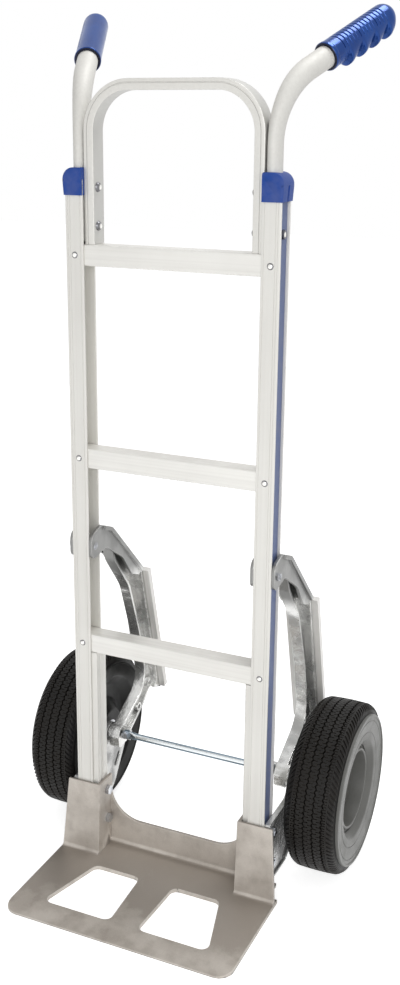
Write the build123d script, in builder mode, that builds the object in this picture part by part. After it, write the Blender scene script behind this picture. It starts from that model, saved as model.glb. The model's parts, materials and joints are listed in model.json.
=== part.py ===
from build123d import *
import os
from math import cos, radians, sin, sqrt

os.makedirs("parts", exist_ok=True)

# Driving dimensions, in millimetres. Y runs from the nose back to the wheels, X across, Z up.
# Places marked "back" are measured behind the front faces of the rails.
# Side-view corners are (back, up, corner radius), measured from the point that their heading names.

# Stance
wheel_radius = 127.0
axle_back = 141.0
nose_reach = 183.0
rail_pitch = 275.0

# Clearances
fit_gap = 0.1
bolt_gap = 0.2
end_gap = 0.2
bolt_past_nut = 1.0

# Rails
rail_width = 25.4
rail_depth = 33.5
rail_top = 1011.0
flange_wall = 2.75
web_wall = 2.0
strip_channel_depth = 4.8
rail_corner = 1.0
strip_thickness = 1.2

# Rungs and rivets
rung_height = 28.0
rung_wall = 2.5
rung_corner = 2.0
bottom_rung_level = 346.0
top_rung_drop = 108.0
rivet_radius = 2.4
rivet_head_radius = 4.4
rivet_head_height = 2.0
rivet_tail = 1.0

# Rail caps
cap_height = 35.0
cap_wall = 2.8
cap_top_wall = 4.0
cap_corner = 10.0
cap_edge = 1.2
cap_groove_width = 4.0
cap_groove_depth = 2.0

# Lower rail liners
liner_proud = 9.0
liner_wall = 3.0
liner_corner = 2.0

# Top loop
loop_rise = 113.0
loop_width = 14.0
loop_depth = 28.0
loop_wall = 2.5
loop_outer_bend = 64.0
loop_groove_from_edge = 5.2
loop_groove_width = 1.6
loop_groove_depth = 0.8
loop_bolt_drops = [70.5, 21.0]
loop_bolt_radius = 3.0
loop_bolt_head_radius = 6.5
loop_bolt_head_height = 5.0
loop_nut_across = 10.0
loop_nut_height = 4.2

# Handles
tube_radius = 14.0
tube_wall = 2.0
tube_foot_above_rung = 4.0
bend_rise = 36.0
bend_radius = 97.0
bend_angle = 65.0
bend_splay = 22.3
bend_sections = 6
tube_to_grip = 32.0
grip_length = 132.0
grip_end_wall = 8.0
grip_wall = 3.5
grip_collar_rise = 0.4
grip_collar_length = 5.0
grip_collar_edge = 1.0
grip_dome = 16.0
grip_tip_radius = 4.5
grip_rib_count = 14
grip_rib_pitch = 6.6
grip_rib_gap = 2.6
grip_rib_depth = 1.0
grip_rib_start = 20.0
grip_rib_arc = 150.0
grip_rib_from = -60.0
finger_count = 4
finger_pitch = 26.5
finger_start = 26.0
finger_height = 6.5
finger_lead = 4.0
finger_slope = 21.0
finger_sink = 1.0
finger_tail_inset = 6.4
finger_width = 12.0
finger_roll = 150.0
finger_round = 1.8

# Nose plate
nose_past_rail = 23.3
nose_back = 36.0
nose_rear_inset = 15.0
nose_thickness = 6.0
nose_corner = 22.0
nose_edge = 1.5
nose_tip = 2.5
nose_taper = 26.0
window_back_edge = -38.0
window_front_edge = -145.5
window_inner_back = 27.0
window_inner_front = 21.5
window_outer_back = 100.0
window_outer_front = 129.0
window_corner = 11.0
upright_top = 119.5
upright_wall = 4.0
upright_lean = 7.0
upright_base_past_rail = 22.3
upright_top_past_rail = 13.8
nose_side_wall = 5.0
nose_wall_height = 49.5
nose_wall_flat = 62.0
nose_wall_ends = 90.0
nose_fillet = 7.0
foot_sunk = 0.5
nose_bolt_back = 19.0
nose_bolt_low = 52.5
nose_bolt_drop = 18.5
nose_bolt_radius = 4.0
nose_bolt_across = 13.0
nose_bolt_head = 5.5
nose_nut_height = 6.0

# Wheel arms
arm_pin_back = 12.0
arm_pin_level = 494.0
arm_foot_before_axle = 33.0
arm_foot_above_axle = 18.0
arm_ear_wall = 5.0
arm_roof = 6.4
arm_roof_start = 8.0
arm_roof_overhang = 4.0
arm_foot_radius = 16.0
arm_foot_floor = 4.0
arm_flange_width = 17.0
arm_back_width = 32.0
arm_wall = 5.0
arm_web = 6.0
arm_toe_reach = 14.0
arm_toe_depth = 9.0
arm_root_rise = 20.0
arm_eye_radius = 7.0
arm_eye_hole_radius = 3.5
arm_bolt_radius = 3.0
arm_bolt_head_radius = 5.5
arm_bolt_head_height = 2.5
arm_nut_across = 10.0
arm_nut_height = 4.0
arm_spacer_radius = 8.0
wear_strip_width = 51.0
wear_strip_thickness = 10.0
wear_strip_edge = 1.5
wear_screw_radius = 2.5
wear_screw_head_radius = 5.0
wear_screw_head_height = 3.0
wear_screw_sunk = 1.0
wear_screw_shares = [0.15, 0.85]

# Corners of the arm from its pin
arm_ear_low = (-11.5, -20.0, 10.0)
arm_ear_high = (-11.5, 18.0, 14.0)
arm_crown = (18.0, 26.0, 20.0)
arm_shoulder = (46.0, 15.0, 20.0)
arm_knee = (145.0, -82.0, 3.0)
arm_channel_tail = (137.0, -92.0, 3.0)
arm_channel_low = (112.0, -82.0, 6.0)
arm_channel_bow = (84.0, -46.0, 30.0)
arm_throat = (32.0, -12.0, 10.0)
arm_leg_top = (54.0, 5.0, 0.0)
arm_neck = (74.0, -50.0, 30.0)
arm_shank = (119.0, -106.0, 60.0)
arm_heel_top = (151.0, -90.0, 3.0)

# Corners of the arm from its foot
arm_heel = (115.0, 35.0, 0.0)
arm_heel_root = (96.0, 40.0, 14.0)
arm_bend_back = (68.0, 18.0, 16.0)
arm_foot_low = (8.0, -16.0, 6.0)
arm_foot_toe = (-15.0, -20.0, 8.0)
arm_foot_high = (-15.0, 9.0, 12.0)
arm_bend = (81.0, 57.0, 40.0)
arm_shin = (58.0, 151.0, 60.0)
arm_eye = (56.0, 23.0, 0.0)

# Wheel brackets
bracket_thickness = 8.0
bracket_web = 4.5
bracket_rim = 3.5
bracket_front = 2.0
bracket_above_nose = 1.5
bracket_bottom = 22.0
bracket_top_round = 4.0
bracket_bottom_round = 8.0
bracket_saddle_round = 20.0
axle_boss_radius = 21.0
bracket_slot_length = 24.0
bracket_slot_width = 8.0
bracket_slot_turn = 50.0
bracket_slot_edge = 1.2

# Corners of the bracket from the axle
bracket_toe = (-65.0, -106.0, 16.0)
bracket_belly = (-23.0, -77.0, 40.0)
bracket_tail_low = (14.0, -22.0, 12.0)
bracket_tail_high = (9.0, 13.0, 10.0)
bracket_slot = (-14.0, -39.0, 0.0)

# Corners of the bracket from the arm's foot
bracket_foot_high = (0.0, 16.0, 10.0)
bracket_foot_low = (-15.0, -15.0, 10.0)
bracket_saddle = -30.0

# Cross brace
brace_radius = 5.0
brace_tab_thickness = 3.2
brace_tab_height = 13.0
brace_tab_straight = 7.5
brace_tab_round = 1.3
brace_above_foot = 5.0
brace_before_foot = 4.0
brace_taper = 12.0
brace_lug_wall = 6.0
brace_lug_height = 20.0
brace_hole_inset = 15.5
brace_bolt_radius = 3.0
brace_bolt_across = 10.0
brace_bolt_head = 4.0

# Wheels, measured along the axle from the wheel's middle plane, outwards
wheel_gap = 10.2
tyre_half_width = 36.3
tyre_height = 15.0
tyre_shoulder_drop = 5.5
tyre_shoulder_half = 34.0
tyre_crown_half = 26.0
tyre_crown_drop = 0.9
tread_groove_count = 4
tread_groove_pitch = 13.0
tread_groove_width = 2.6
tread_groove_depth = 4.5
rim_flange_height = 12.0
rim_wall = 4.0
rim_lip = 4.2
rim_lip_band = 3.5
rim_step = 1.0
rim_edge = 0.8
rim_face_dish = 3.0
dish_outer_radius = 74.0
dish_inner_radius = 66.0
dish_round = 5.0
dish_floor = 25.0
dish_step = 2.0
cup_flange_radius = 70.0
cup_valley_radius = 62.5
cup_lip_height = 5.0
cup_lip_radius = 59.5
cup_mouth_radius = 56.0
cup_lip_round = 1.6
recess_floor_radius = 54.0
recess_floor = 9.0
rim_shoulder_band = 24.0
rim_shoulder_round = 6.0
valley_outer_radius = 70.0
valley_inner_radius = 53.0
valley_round = 8.0
rim_valley = 22.0
hub_radius = 26.0
hub_boss_radius = 35.0
hub_boss_round = 6.0
hub_inner_end = 40.0
hub_cap_radius = 30.0
hub_cap_wall = 2.5
hub_cap_dome = 2.0
bearing_radius = 17.5
bearing_width = 11.0
bearing_shoulder = 2.0
outer_bearing_end = 1.0

# Axles
axle_radius = 8.0
axle_running_gap = 0.05
axle_end_gap = 0.4
axle_collar_radius = 13.0
axle_past_clip = 0.3
axle_nut_across = 22.0
axle_nut_height = 9.0
axle_past_nut = 2.0
axle_washer_radius = 13.5
axle_washer_thickness = 1.6
axle_clip_radius = 11.0
axle_clip_thickness = 1.2

# Places worked out from the driving dimensions
rail_front = (nose_reach - axle_back - wheel_radius) / 2
rail_back = rail_front + rail_depth
rail_mid = rail_front + rail_depth / 2
rail_x = rail_pitch / 2
rail_in = rail_x - rail_width / 2
rail_out = rail_x + rail_width / 2
web_out = rail_out - strip_channel_depth
web_in = web_out - web_wall
channel_width = rail_depth - 2 * flange_wall
insert_depth = channel_width - 2 * fit_gap
cap_bottom = rail_top + cap_top_wall - cap_height
top_rung_level = rail_top - top_rung_drop
rung_levels = {
    "bottom": bottom_rung_level,
    "middle": (bottom_rung_level + top_rung_level) / 2,
    "top": top_rung_level,
}
rung_top_face = top_rung_level + rung_height / 2
loop_top = rail_top + loop_rise
loop_outer = rail_in - fit_gap
loop_inner = loop_outer - loop_width
liner_in = rail_in - liner_proud
nose_half_width = rail_out + nose_past_rail
nose_wall_out = liner_in - fit_gap
nose_wall_in = nose_wall_out - nose_side_wall
axle_y = rail_front + axle_back
axle_z = wheel_radius
axle_point = (axle_back, axle_z)
arm_pin = (arm_pin_back, arm_pin_level)
arm_foot = (axle_back - arm_foot_before_axle, axle_z + arm_foot_above_axle)
arm_half = rail_width / 2 + fit_gap + arm_ear_wall
arm_leg_in = rail_x - arm_flange_width / 2
bracket_out = rail_out + bracket_thickness
bracket_top = upright_top + bracket_above_nose
brace_level = arm_foot[1] + brace_above_foot
brace_lug_front = rail_front + arm_foot[0] - brace_before_foot
brace_bolt_x = rail_x - brace_hole_inset
flange_in = tyre_half_width + fit_gap
lip_out = flange_in + rim_lip
wheel_mid = bracket_out + wheel_gap + lip_out
rim_radius = wheel_radius - tyre_height
rim_seat_radius = rim_radius - rim_flange_height

# Bolt places in the side view
nose_points = [(nose_bolt_back, nose_bolt_low), (nose_bolt_back, upright_top - nose_bolt_drop)]
loop_points = [(rail_depth / 2, rail_top - drop) for drop in loop_bolt_drops]

# Holes for the bolts
nose_hole = nose_bolt_radius + bolt_gap
loop_hole = loop_bolt_radius + bolt_gap
arm_hole = arm_bolt_radius + bolt_gap
brace_hole = brace_bolt_radius + bolt_gap


def side(point):
    """A point given as (back, level), in the side view's own coordinates."""
    return (rail_front + point[0], point[1])


def placed(base, *corners):
    """Corners measured from a base point, as (back, level, corner radius)."""
    return [(base[0] + back, base[1] + up, radius) for back, up, radius in corners]


def along(start, end, reach, out=0.0):
    """The point a given reach past start towards end, moved out to the left of that way."""
    step = Vector(end[0] - start[0], end[1] - start[1]).normalized()
    return (start[0] + step.X * reach - step.Y * out, start[1] + step.Y * reach + step.X * out)


def rounded(points, radii):
    """A closed face with its corners rounded."""
    with BuildLine() as border:
        FilletPolyline(*points, radius=radii, close=True)
    make_face(border.edges())


def outline(corners):
    """A closed side-view face from (back, level, corner radius) corners."""
    rounded([side(corner) for corner in corners], [radius for back, level, radius in corners])


def side_face(points):
    """A closed side-view face with sharp corners."""
    with BuildLine() as border:
        Polyline(*[side(point) for point in points], close=True)
    make_face(border.edges())


def cross_holes(points, radius, start, end):
    """Cuts round holes along X between two places, at side-view points."""
    with BuildSketch(Plane.YZ.offset(start)) as profile:
        with Locations(*[side(point) for point in points]):
            Circle(radius)
    extrude(profile.sketch, amount=end - start, mode=Mode.SUBTRACT)


def facing(x, y, z, way):
    """A plane at a point, whose normal points the given way."""
    return Plane(origin=(x, y, z), z_dir=way)


def hexagon(plane, across, height, bore=0.0):
    """A hexagonal head or nut that stands on a plane."""
    with BuildSketch(plane) as profile:
        RegularPolygon(across / 2, 6, major_radius=False)
        if bore:
            Circle(bore, mode=Mode.SUBTRACT)
    extrude(profile.sketch, amount=height)


def rod(plane, radius, start, end, bore=0.0):
    """A round rod or ring along a plane's normal."""
    with BuildSketch(plane.offset(start)) as profile:
        Circle(radius)
        if bore:
            Circle(bore, mode=Mode.SUBTRACT)
    extrude(profile.sketch, amount=end - start)


def dome_head(plane, radius, height):
    """A domed bolt or rivet head that stands on a plane."""
    crown = Plane(origin=plane.origin, x_dir=plane.x_dir, z_dir=-plane.y_dir)
    with BuildSketch(crown) as profile:
        with BuildLine():
            Line((0, 0), (radius, 0))
            TangentArc((0, height), (radius, 0), tangent=(1, 0))
            Line((0, height), (0, 0))
        make_face()
    revolve(profile.sketch, axis=Axis(plane.origin, -plane.z_dir))


def base_fillet(start, length, wall_back):
    """A concave fillet along X, from the toe plate up a wall's front face."""
    corner = side((wall_back, nose_thickness))
    low = side((wall_back - nose_fillet, nose_thickness))
    high = side((wall_back, nose_thickness + nose_fillet))
    with BuildSketch(Plane.YZ.offset(start)) as profile:
        with BuildLine():
            Line(corner, low)
            TangentArc(low, high, tangent=(1, 0))
            Line(high, corner)
        make_face()
    extrude(profile.sketch, amount=length)


def save(builder, name):
    """Labels a finished piece and writes it."""
    builder.part.label = name
    export_step(builder.part, f"parts/{name}.step")


def save_pair(builder, name):
    """Writes a right-hand piece and its mirror image."""
    save(builder, name + "_right")
    with BuildPart() as twin:
        mirror(builder.part, about=Plane.YZ)
    save(twin, name + "_left")


# Nose plate: toe plate, windows, uprights, side walls and back wall
with BuildPart() as nose_plate:
    with BuildSketch() as toe:
        with Locations((0, rail_front + (nose_back - nose_reach) / 2)):
            Rectangle(2 * nose_half_width, nose_back + nose_reach)
        fillet(toe.vertices().group_by(Axis.Y)[0], radius=nose_corner)
    extrude(amount=nose_thickness)
    with BuildSketch(Plane.YZ.offset(-nose_half_width)):
        side_face([
            (-nose_reach, nose_tip), (nose_taper - nose_reach, nose_thickness),
            (-nose_reach, nose_thickness),
        ])
    extrude(amount=2 * nose_half_width, mode=Mode.SUBTRACT)
    crease = rail_front + nose_taper - nose_reach
    rim_edges = nose_plate.edges().filter_by(Axis.Z, reverse=True).filter_by(
        lambda edge: edge.center().Z > nose_tip / 2
        and edge.center().Y < rail_front
        and abs(edge.center().Y - crease) > fit_gap
    )
    fillet(rim_edges, radius=nose_edge)
    with BuildSketch():
        for hand in (-1, 1):
            rounded(
                [
                    (hand * window_inner_back, rail_front + window_back_edge),
                    (hand * window_outer_back, rail_front + window_back_edge),
                    (hand * window_outer_front, rail_front + window_front_edge),
                    (hand * window_inner_front, rail_front + window_front_edge),
                ],
                window_corner,
            )
        for hand in (-1, 1):
            with Locations((hand * (nose_half_width - nose_rear_inset / 2), rail_front + nose_back / 2)):
                Rectangle(nose_rear_inset, nose_back)
    extrude(amount=nose_thickness, mode=Mode.SUBTRACT)
    base_width = rail_out + upright_base_past_rail - nose_wall_in
    top_width = rail_out + upright_top_past_rail - nose_wall_in
    top_y = rail_front - fit_gap - upright_wall / 2
    foot_back = foot_sunk - fit_gap - upright_wall - upright_lean
    for hand in (-1, 1):
        with BuildSketch(Plane.XY.offset(nose_thickness)):
            with Locations((hand * (nose_wall_in + base_width / 2), top_y - upright_lean)):
                Rectangle(base_width, upright_wall)
        with BuildSketch(Plane.XY.offset(upright_top)):
            with Locations((hand * (nose_wall_in + top_width / 2), top_y)):
                Rectangle(top_width, upright_wall)
        loft()
        with BuildSketch(Plane.YZ.offset(min(hand * nose_wall_in, hand * nose_wall_out))):
            side_face([
                (-upright_wall - upright_lean, nose_thickness), (-upright_wall, upright_top),
                (nose_back, upright_top), (nose_back, nose_thickness),
            ])
        extrude(amount=nose_side_wall)
        base_fillet(min(hand * nose_wall_in, hand * (nose_wall_in + base_width)), base_width, foot_back)
    with BuildSketch(Plane.XZ.offset(-rail_front - nose_back)):
        with BuildLine():
            Line((-nose_wall_flat, nose_wall_height), (nose_wall_flat, nose_wall_height))
            TangentArc((nose_wall_flat, nose_wall_height), (nose_wall_in, nose_wall_ends), tangent=(1, 0))
            Line((nose_wall_in, nose_wall_ends), (nose_wall_in, 0))
            Line((nose_wall_in, 0), (-nose_wall_in, 0))
            Line((-nose_wall_in, 0), (-nose_wall_in, nose_wall_ends))
            TangentArc((-nose_wall_flat, nose_wall_height), (-nose_wall_in, nose_wall_ends), tangent=(-1, 0))
        make_face()
    extrude(amount=nose_side_wall)
    base_fillet(-nose_wall_in, 2 * nose_wall_in, nose_back - nose_side_wall)
    cross_holes(nose_points, nose_hole, -nose_wall_out, nose_wall_out)
save(nose_plate, "nose_plate")

# Side rails: a deep inner channel, a web, and a shallow outer channel
with BuildPart() as rail:
    with BuildSketch(Plane.XY.offset(nose_thickness)) as rail_section:
        with Locations((rail_x, rail_mid)):
            Rectangle(rail_width, rail_depth)
        fillet(rail_section.vertices(), radius=rail_corner)
        with Locations(((rail_in + web_in) / 2, rail_mid)):
            Rectangle(web_in - rail_in, channel_width, mode=Mode.SUBTRACT)
        with Locations(((rail_out + web_out) / 2, rail_mid)):
            Rectangle(rail_out - web_out, channel_width, mode=Mode.SUBTRACT)
    extrude(amount=rail_top - nose_thickness)
    with BuildSketch(Plane.XZ.offset(-rail_back)):
        with Locations(*[(rail_x, level) for level in rung_levels.values()]):
            Circle(rivet_radius + fit_gap)
    extrude(amount=rail_depth, mode=Mode.SUBTRACT)
    cross_holes([arm_pin], arm_hole, rail_in, rail_out)
    cross_holes(nose_points, nose_hole, rail_in, rail_out)
    cross_holes(loop_points, loop_hole, rail_in, rail_out)
save_pair(rail, "rail")

# Coloured strips in the outer channels, with holes around the loop nuts' corners
strip_top = cap_bottom - fit_gap
with BuildPart() as rail_strip:
    with BuildSketch(Plane.XY.offset(nose_thickness)):
        with Locations((web_out + strip_thickness / 2, rail_mid)):
            Rectangle(strip_thickness, insert_depth)
    extrude(amount=strip_top - nose_thickness)
    cross_holes([arm_pin], arm_hole, web_out, rail_out)
    cross_holes(nose_points, nose_hole, web_out, rail_out)
    cross_holes(loop_points, loop_nut_across / sqrt(3) + bolt_gap, web_out, rail_out)
save_pair(rail_strip, "rail_strip")

# Rungs: box tubes whose ends sit in the rails' inner channels
rung_end = web_in - end_gap
for name, level in rung_levels.items():
    with BuildPart() as rung:
        with BuildSketch(Plane.YZ.offset(-rung_end)) as rung_section:
            with Locations((rail_mid, level)):
                Rectangle(insert_depth, rung_height)
            fillet(rung_section.vertices(), radius=rung_corner)
            with Locations((rail_mid, level)):
                Rectangle(insert_depth - 2 * rung_wall, rung_height - 2 * rung_wall, mode=Mode.SUBTRACT)
        extrude(amount=2 * rung_end)
        with BuildSketch(Plane.XZ.offset(-rail_back)):
            with Locations((-rail_x, level), (rail_x, level)):
                Circle(rivet_radius + fit_gap)
        extrude(amount=rail_depth, mode=Mode.SUBTRACT)
    save(rung, f"rung_{name}")

# Rivets through the rails' flanges and the rungs' walls
rivet_length = flange_wall + fit_gap + rung_wall + rivet_tail
with BuildPart() as rung_rivets:
    for hand in (-1, 1):
        for level in rung_levels.values():
            front = facing(hand * rail_x, rail_front, level, (0, -1, 0))
            back = facing(hand * rail_x, rail_back, level, (0, 1, 0))
            for face in (front, back):
                rod(face, rivet_radius, -rivet_length, 0)
                dome_head(face, rivet_head_radius, rivet_head_height)
save(rung_rivets, "rung_rivets")

# Liners in the lower ends of the rails
liner_top = bottom_rung_level - rung_height / 2 - fit_gap
liner_out = web_in - end_gap
with BuildPart() as rail_liner:
    with BuildSketch(Plane.XY.offset(nose_thickness)) as liner_section:
        with Locations(((liner_in + liner_out) / 2, rail_mid)):
            Rectangle(liner_out - liner_in, insert_depth)
        fillet(liner_section.vertices(), radius=liner_corner)
        with Locations(((liner_in + liner_out) / 2, rail_mid)):
            Rectangle(
                liner_out - liner_in - 2 * liner_wall,
                insert_depth - 2 * liner_wall,
                mode=Mode.SUBTRACT,
            )
    extrude(amount=liner_top - nose_thickness)
    cross_holes(nose_points, nose_hole, liner_in, liner_out)
save_pair(rail_liner, "rail_liner")


# Top loop: a hollow bow with a groove along its front and back faces
def bow(face, near, far):
    """A band along the loop, between two insets from its outer edge, on a plane across Y."""
    foot = rung_top_face + fit_gap
    with BuildSketch(face) as profile:
        for inset, mode in ((near, Mode.ADD), (far, Mode.SUBTRACT)):
            half = loop_outer - inset
            top = loop_top - inset
            bend = loop_outer_bend - inset
            with BuildLine():
                FilletPolyline(
                    (-half, foot), (-half, top), (half, top), (half, foot),
                    radius=[0, bend, bend, 0], close=True,
                )
            make_face(mode=mode)
    return profile.sketch


with BuildPart() as top_loop:
    back_face = Plane.XZ.offset(-rail_back)
    extrude(bow(back_face, 0, loop_width), amount=loop_depth)
    hollow = bow(back_face.offset(loop_wall), loop_wall, loop_width - loop_wall)
    extrude(hollow, amount=loop_depth - 2 * loop_wall, mode=Mode.SUBTRACT)
    groove_near = loop_groove_from_edge - loop_groove_width / 2
    groove_far = loop_groove_from_edge + loop_groove_width / 2
    for lift in (0, loop_depth - loop_groove_depth):
        groove = bow(back_face.offset(lift), groove_near, groove_far)
        extrude(groove, amount=loop_groove_depth, mode=Mode.SUBTRACT)
    for start, end in ((-loop_outer, -loop_inner), (loop_inner, loop_outer)):
        cross_holes(loop_points, loop_hole, start, end)
save(top_loop, "top_loop")

# Handles: oval in the rail's channel, round past the bend
oval_x = (web_in - rail_in) / 2 - fit_gap
oval_y = insert_depth / 2
tube_x = (web_in + rail_in) / 2
tube_foot = rung_top_face + tube_foot_above_rung
bend_start = rail_top + bend_rise
splay = radians(bend_splay)
bend_way = Vector(sin(splay), cos(splay), 0)
bend_across = Vector(cos(splay), -sin(splay), 0)
upright = Vector(0, 0, 1)


def handle_plane(turn):
    """The tube's cross-section plane where the bend has turned by an angle."""
    reach = bend_radius * (1 - cos(turn))
    rise = bend_radius * sin(turn)
    middle = Vector(tube_x, rail_mid, bend_start) + bend_way * reach + upright * rise
    lean = bend_way * cos(turn) - upright * sin(turn)
    way = bend_way * sin(turn) + upright * cos(turn)
    return Plane(origin=middle, x_dir=bend_across * cos(splay) + lean * sin(splay), z_dir=way)


bend_end = handle_plane(radians(bend_angle))
grip_axis = bend_end.z_dir
grip_mouth = bend_end.origin + grip_axis * tube_to_grip
tube_end = tube_to_grip + grip_length - grip_end_wall


def handle_core(inset):
    """The handle's solid form, shrunk by an inset from the tube's outside."""
    with BuildPart() as core:
        with BuildSketch(Plane.XY.offset(tube_foot)):
            with Locations((tube_x, rail_mid)):
                Ellipse(oval_x - inset, oval_y - inset)
        extrude(amount=bend_start - tube_foot)
        for step in range(bend_sections + 1):
            share = step / bend_sections
            growth = share * share * (3 - 2 * share)
            with BuildSketch(handle_plane(radians(bend_angle * share))):
                Ellipse(
                    oval_x + (tube_radius - oval_x) * growth - inset,
                    oval_y + (tube_radius - oval_y) * growth - inset,
                )
        loft()
        rod(bend_end, tube_radius - inset, 0, tube_end)
    return core.part


tube_outside = handle_core(0)
tube_inside = handle_core(tube_wall)
with BuildPart() as handle_tube:
    add(tube_outside)
    add(tube_inside, mode=Mode.SUBTRACT)
    cross_holes(loop_points, loop_hole, rail_in, web_in)
save_pair(handle_tube, "handle_tube")

# Grips: a collar, ribs on top, finger ridges below and a domed end
grip_up = (upright - grip_axis * grip_axis.Z).normalized()
grip_across = grip_axis.cross(grip_up)
grip_bore = tube_radius + fit_gap
grip_radius = grip_bore + grip_wall - fit_gap
collar_radius = grip_radius + grip_collar_rise
bore_end = grip_length - grip_end_wall + fit_gap
dome_start = grip_length - grip_dome


def grip_plane(roll):
    """A plane through the grip's axis that leans by a roll from straight up."""
    outward = grip_up * cos(radians(roll)) + grip_across * sin(radians(roll))
    return Plane(origin=grip_mouth, x_dir=grip_axis, z_dir=grip_axis.cross(outward))


with BuildPart() as handle_grip:
    with BuildSketch(grip_plane(0)):
        with BuildLine():
            Polyline(
                (bore_end, 0), (bore_end, grip_bore), (0, grip_bore),
                (0, collar_radius - grip_collar_edge), (grip_collar_edge, collar_radius),
                (grip_collar_length, collar_radius), (grip_collar_length + grip_collar_edge, grip_radius),
                (dome_start, grip_radius),
            )
            TangentArc((dome_start, grip_radius), (grip_length, grip_tip_radius), tangent=(1, 0))
            Polyline((grip_length, grip_tip_radius), (grip_length, 0), (bore_end, 0))
        make_face()
    revolve(axis=Axis(grip_mouth, grip_axis))
    finger_root = (grip_bore + grip_radius) / 2
    finger_top = grip_radius + finger_height
    with BuildSketch(grip_plane(finger_roll)):
        for finger in range(finger_count):
            start = finger_start + finger * finger_pitch
            tail = min(start + finger_lead + finger_slope, grip_length - finger_tail_inset)
            rounded(
                [
                    (start, finger_root), (start, finger_top), (start + finger_lead, finger_top),
                    (tail, grip_radius - finger_sink), (tail, finger_root),
                ],
                [0, finger_round, finger_round, 0, 0],
            )
    extrude(amount=finger_width / 2, both=True)
    with BuildSketch(grip_plane(grip_rib_from)):
        for rib in range(grip_rib_count):
            with Locations((grip_rib_start + rib * grip_rib_pitch, grip_radius)):
                Rectangle(grip_rib_gap, 2 * grip_rib_depth)
    revolve(axis=Axis(grip_mouth, grip_axis), revolution_arc=grip_rib_arc, mode=Mode.SUBTRACT)
save_pair(handle_grip, "handle_grip")

# Rail caps: sleeves over the rail ends, open to the loop and around the handle
cap_front = rail_front - fit_gap - cap_wall
cap_back = rail_back + fit_gap + cap_wall
cap_out = rail_out + fit_gap + cap_wall
with BuildPart() as rail_cap:
    with BuildSketch(Plane.XZ.offset(-cap_back)):
        rounded(
            [
                (rail_in, cap_bottom), (rail_in, cap_bottom + cap_height),
                (cap_out, cap_bottom + cap_height), (cap_out, cap_bottom),
            ],
            [0, 0, cap_corner, 0],
        )
    extrude(amount=cap_back - cap_front)
    front_edges = rail_cap.faces().sort_by(Axis.Y)[0].edges()
    back_edges = rail_cap.faces().sort_by(Axis.Y)[-1].edges()
    outer_edges = (front_edges + back_edges).filter_by(lambda edge: edge.center().X > rail_in + fit_gap)
    fillet(outer_edges, radius=cap_edge)
    with BuildSketch(Plane.XY.offset(cap_bottom)):
        with Locations(((rail_in + rail_out + fit_gap) / 2, rail_mid)):
            Rectangle(rail_width + fit_gap, rail_depth + 2 * fit_gap)
    extrude(amount=cap_height - cap_top_wall, mode=Mode.SUBTRACT)
    with BuildSketch(Plane.XY.offset(cap_bottom)):
        with Locations((tube_x, rail_mid)):
            Ellipse(oval_x + fit_gap, oval_y + fit_gap)
        with Locations(((rail_in + tube_x) / 2, rail_mid)):
            Rectangle(tube_x - rail_in, 2 * (oval_y + fit_gap))
    extrude(amount=cap_height, mode=Mode.SUBTRACT)
    with BuildSketch(Plane.XY.offset(cap_bottom)):
        with Locations((cap_out, rail_mid)):
            Rectangle(2 * cap_groove_depth, cap_groove_width)
    extrude(amount=cap_height - cap_corner, mode=Mode.SUBTRACT)
save_pair(rail_cap, "rail_cap")

# Loop bolts through loop, handle tube and rail web, with their nuts in the outer channel
with BuildPart() as loop_bolts:
    for hand in (-1, 1):
        for point in loop_points:
            seat = facing(hand * loop_inner, *side(point), (-hand, 0, 0))
            rod(seat, loop_bolt_radius, loop_inner - web_out - loop_nut_height, 0)
            dome_head(seat, loop_bolt_head_radius, loop_bolt_head_height)
save(loop_bolts, "loop_bolts")
with BuildPart() as loop_nuts:
    for hand in (-1, 1):
        for point in loop_points:
            seat = facing(hand * web_out, *side(point), (hand, 0, 0))
            hexagon(seat, loop_nut_across, loop_nut_height, loop_bolt_radius + fit_gap / 2)
save(loop_nuts, "loop_nuts")

# Wheel arms: a forked lug, a channel down to the knee, and an I-shaped leg to the foot
upper_corners = placed(
    arm_pin, arm_ear_low, arm_ear_high, arm_crown, arm_shoulder, arm_knee,
    arm_channel_tail, arm_channel_low, arm_channel_bow, arm_throat,
)
leg_corners = [
    *placed(arm_pin, arm_leg_top, arm_knee, arm_heel_top),
    *placed(arm_foot, arm_heel, arm_heel_root, arm_bend_back, arm_foot_low, arm_foot_toe),
    *placed(arm_foot, arm_foot_high, arm_bend, arm_shin),
    *placed(arm_pin, arm_shank, arm_neck),
]
crown, shoulder, knee, channel_tail, heel_top = placed(
    arm_pin, arm_crown, arm_shoulder, arm_knee, arm_channel_tail, arm_heel_top
)
heel, heel_root, eye = placed(arm_foot, arm_heel, arm_heel_root, arm_eye)
eye_point = eye[:2]
roof_length = (Vector(knee[:2]) - Vector(shoulder[:2])).length
roof_start = along(shoulder, knee, 0, -arm_roof)
roof_end = along(shoulder, knee, roof_length, -arm_roof)
roof_tip = along(crown, shoulder, arm_roof_start)
roof_tip_low = along(crown, shoulder, arm_roof_start, -arm_roof)
roof_corners = [
    (*roof_tip, 0), shoulder, knee, (*roof_end, 0), (*roof_start, arm_shoulder[2] - arm_roof),
    (*roof_tip_low, 0),
]
channel_floor = channel_tail[1] - arm_roof
heel_length = (Vector(heel[:2]) - Vector(heel_top[:2])).length
toe_tip = along(heel_top, heel, heel_length, arm_toe_reach)
toe_low = along(toe_tip, heel_top, -arm_toe_depth)
heel_way = Vector(heel[0] - heel_top[0], heel[1] - heel_top[1]).normalized()
screw_out = (0, -heel_way.Y, heel_way.X)
screw_seats = [along(heel_top, heel, heel_length * share) for share in wear_screw_shares]
screw_heads = [
    along(heel_top, heel, heel_length * share, wear_strip_thickness) for share in wear_screw_shares
]
lug_in = brace_bolt_x - brace_tab_height / 2
lug_back = Plane.XZ.offset(-brace_lug_front - brace_lug_wall)
foot_hole_end = arm_leg_in + arm_foot_floor - bolt_gap
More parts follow.
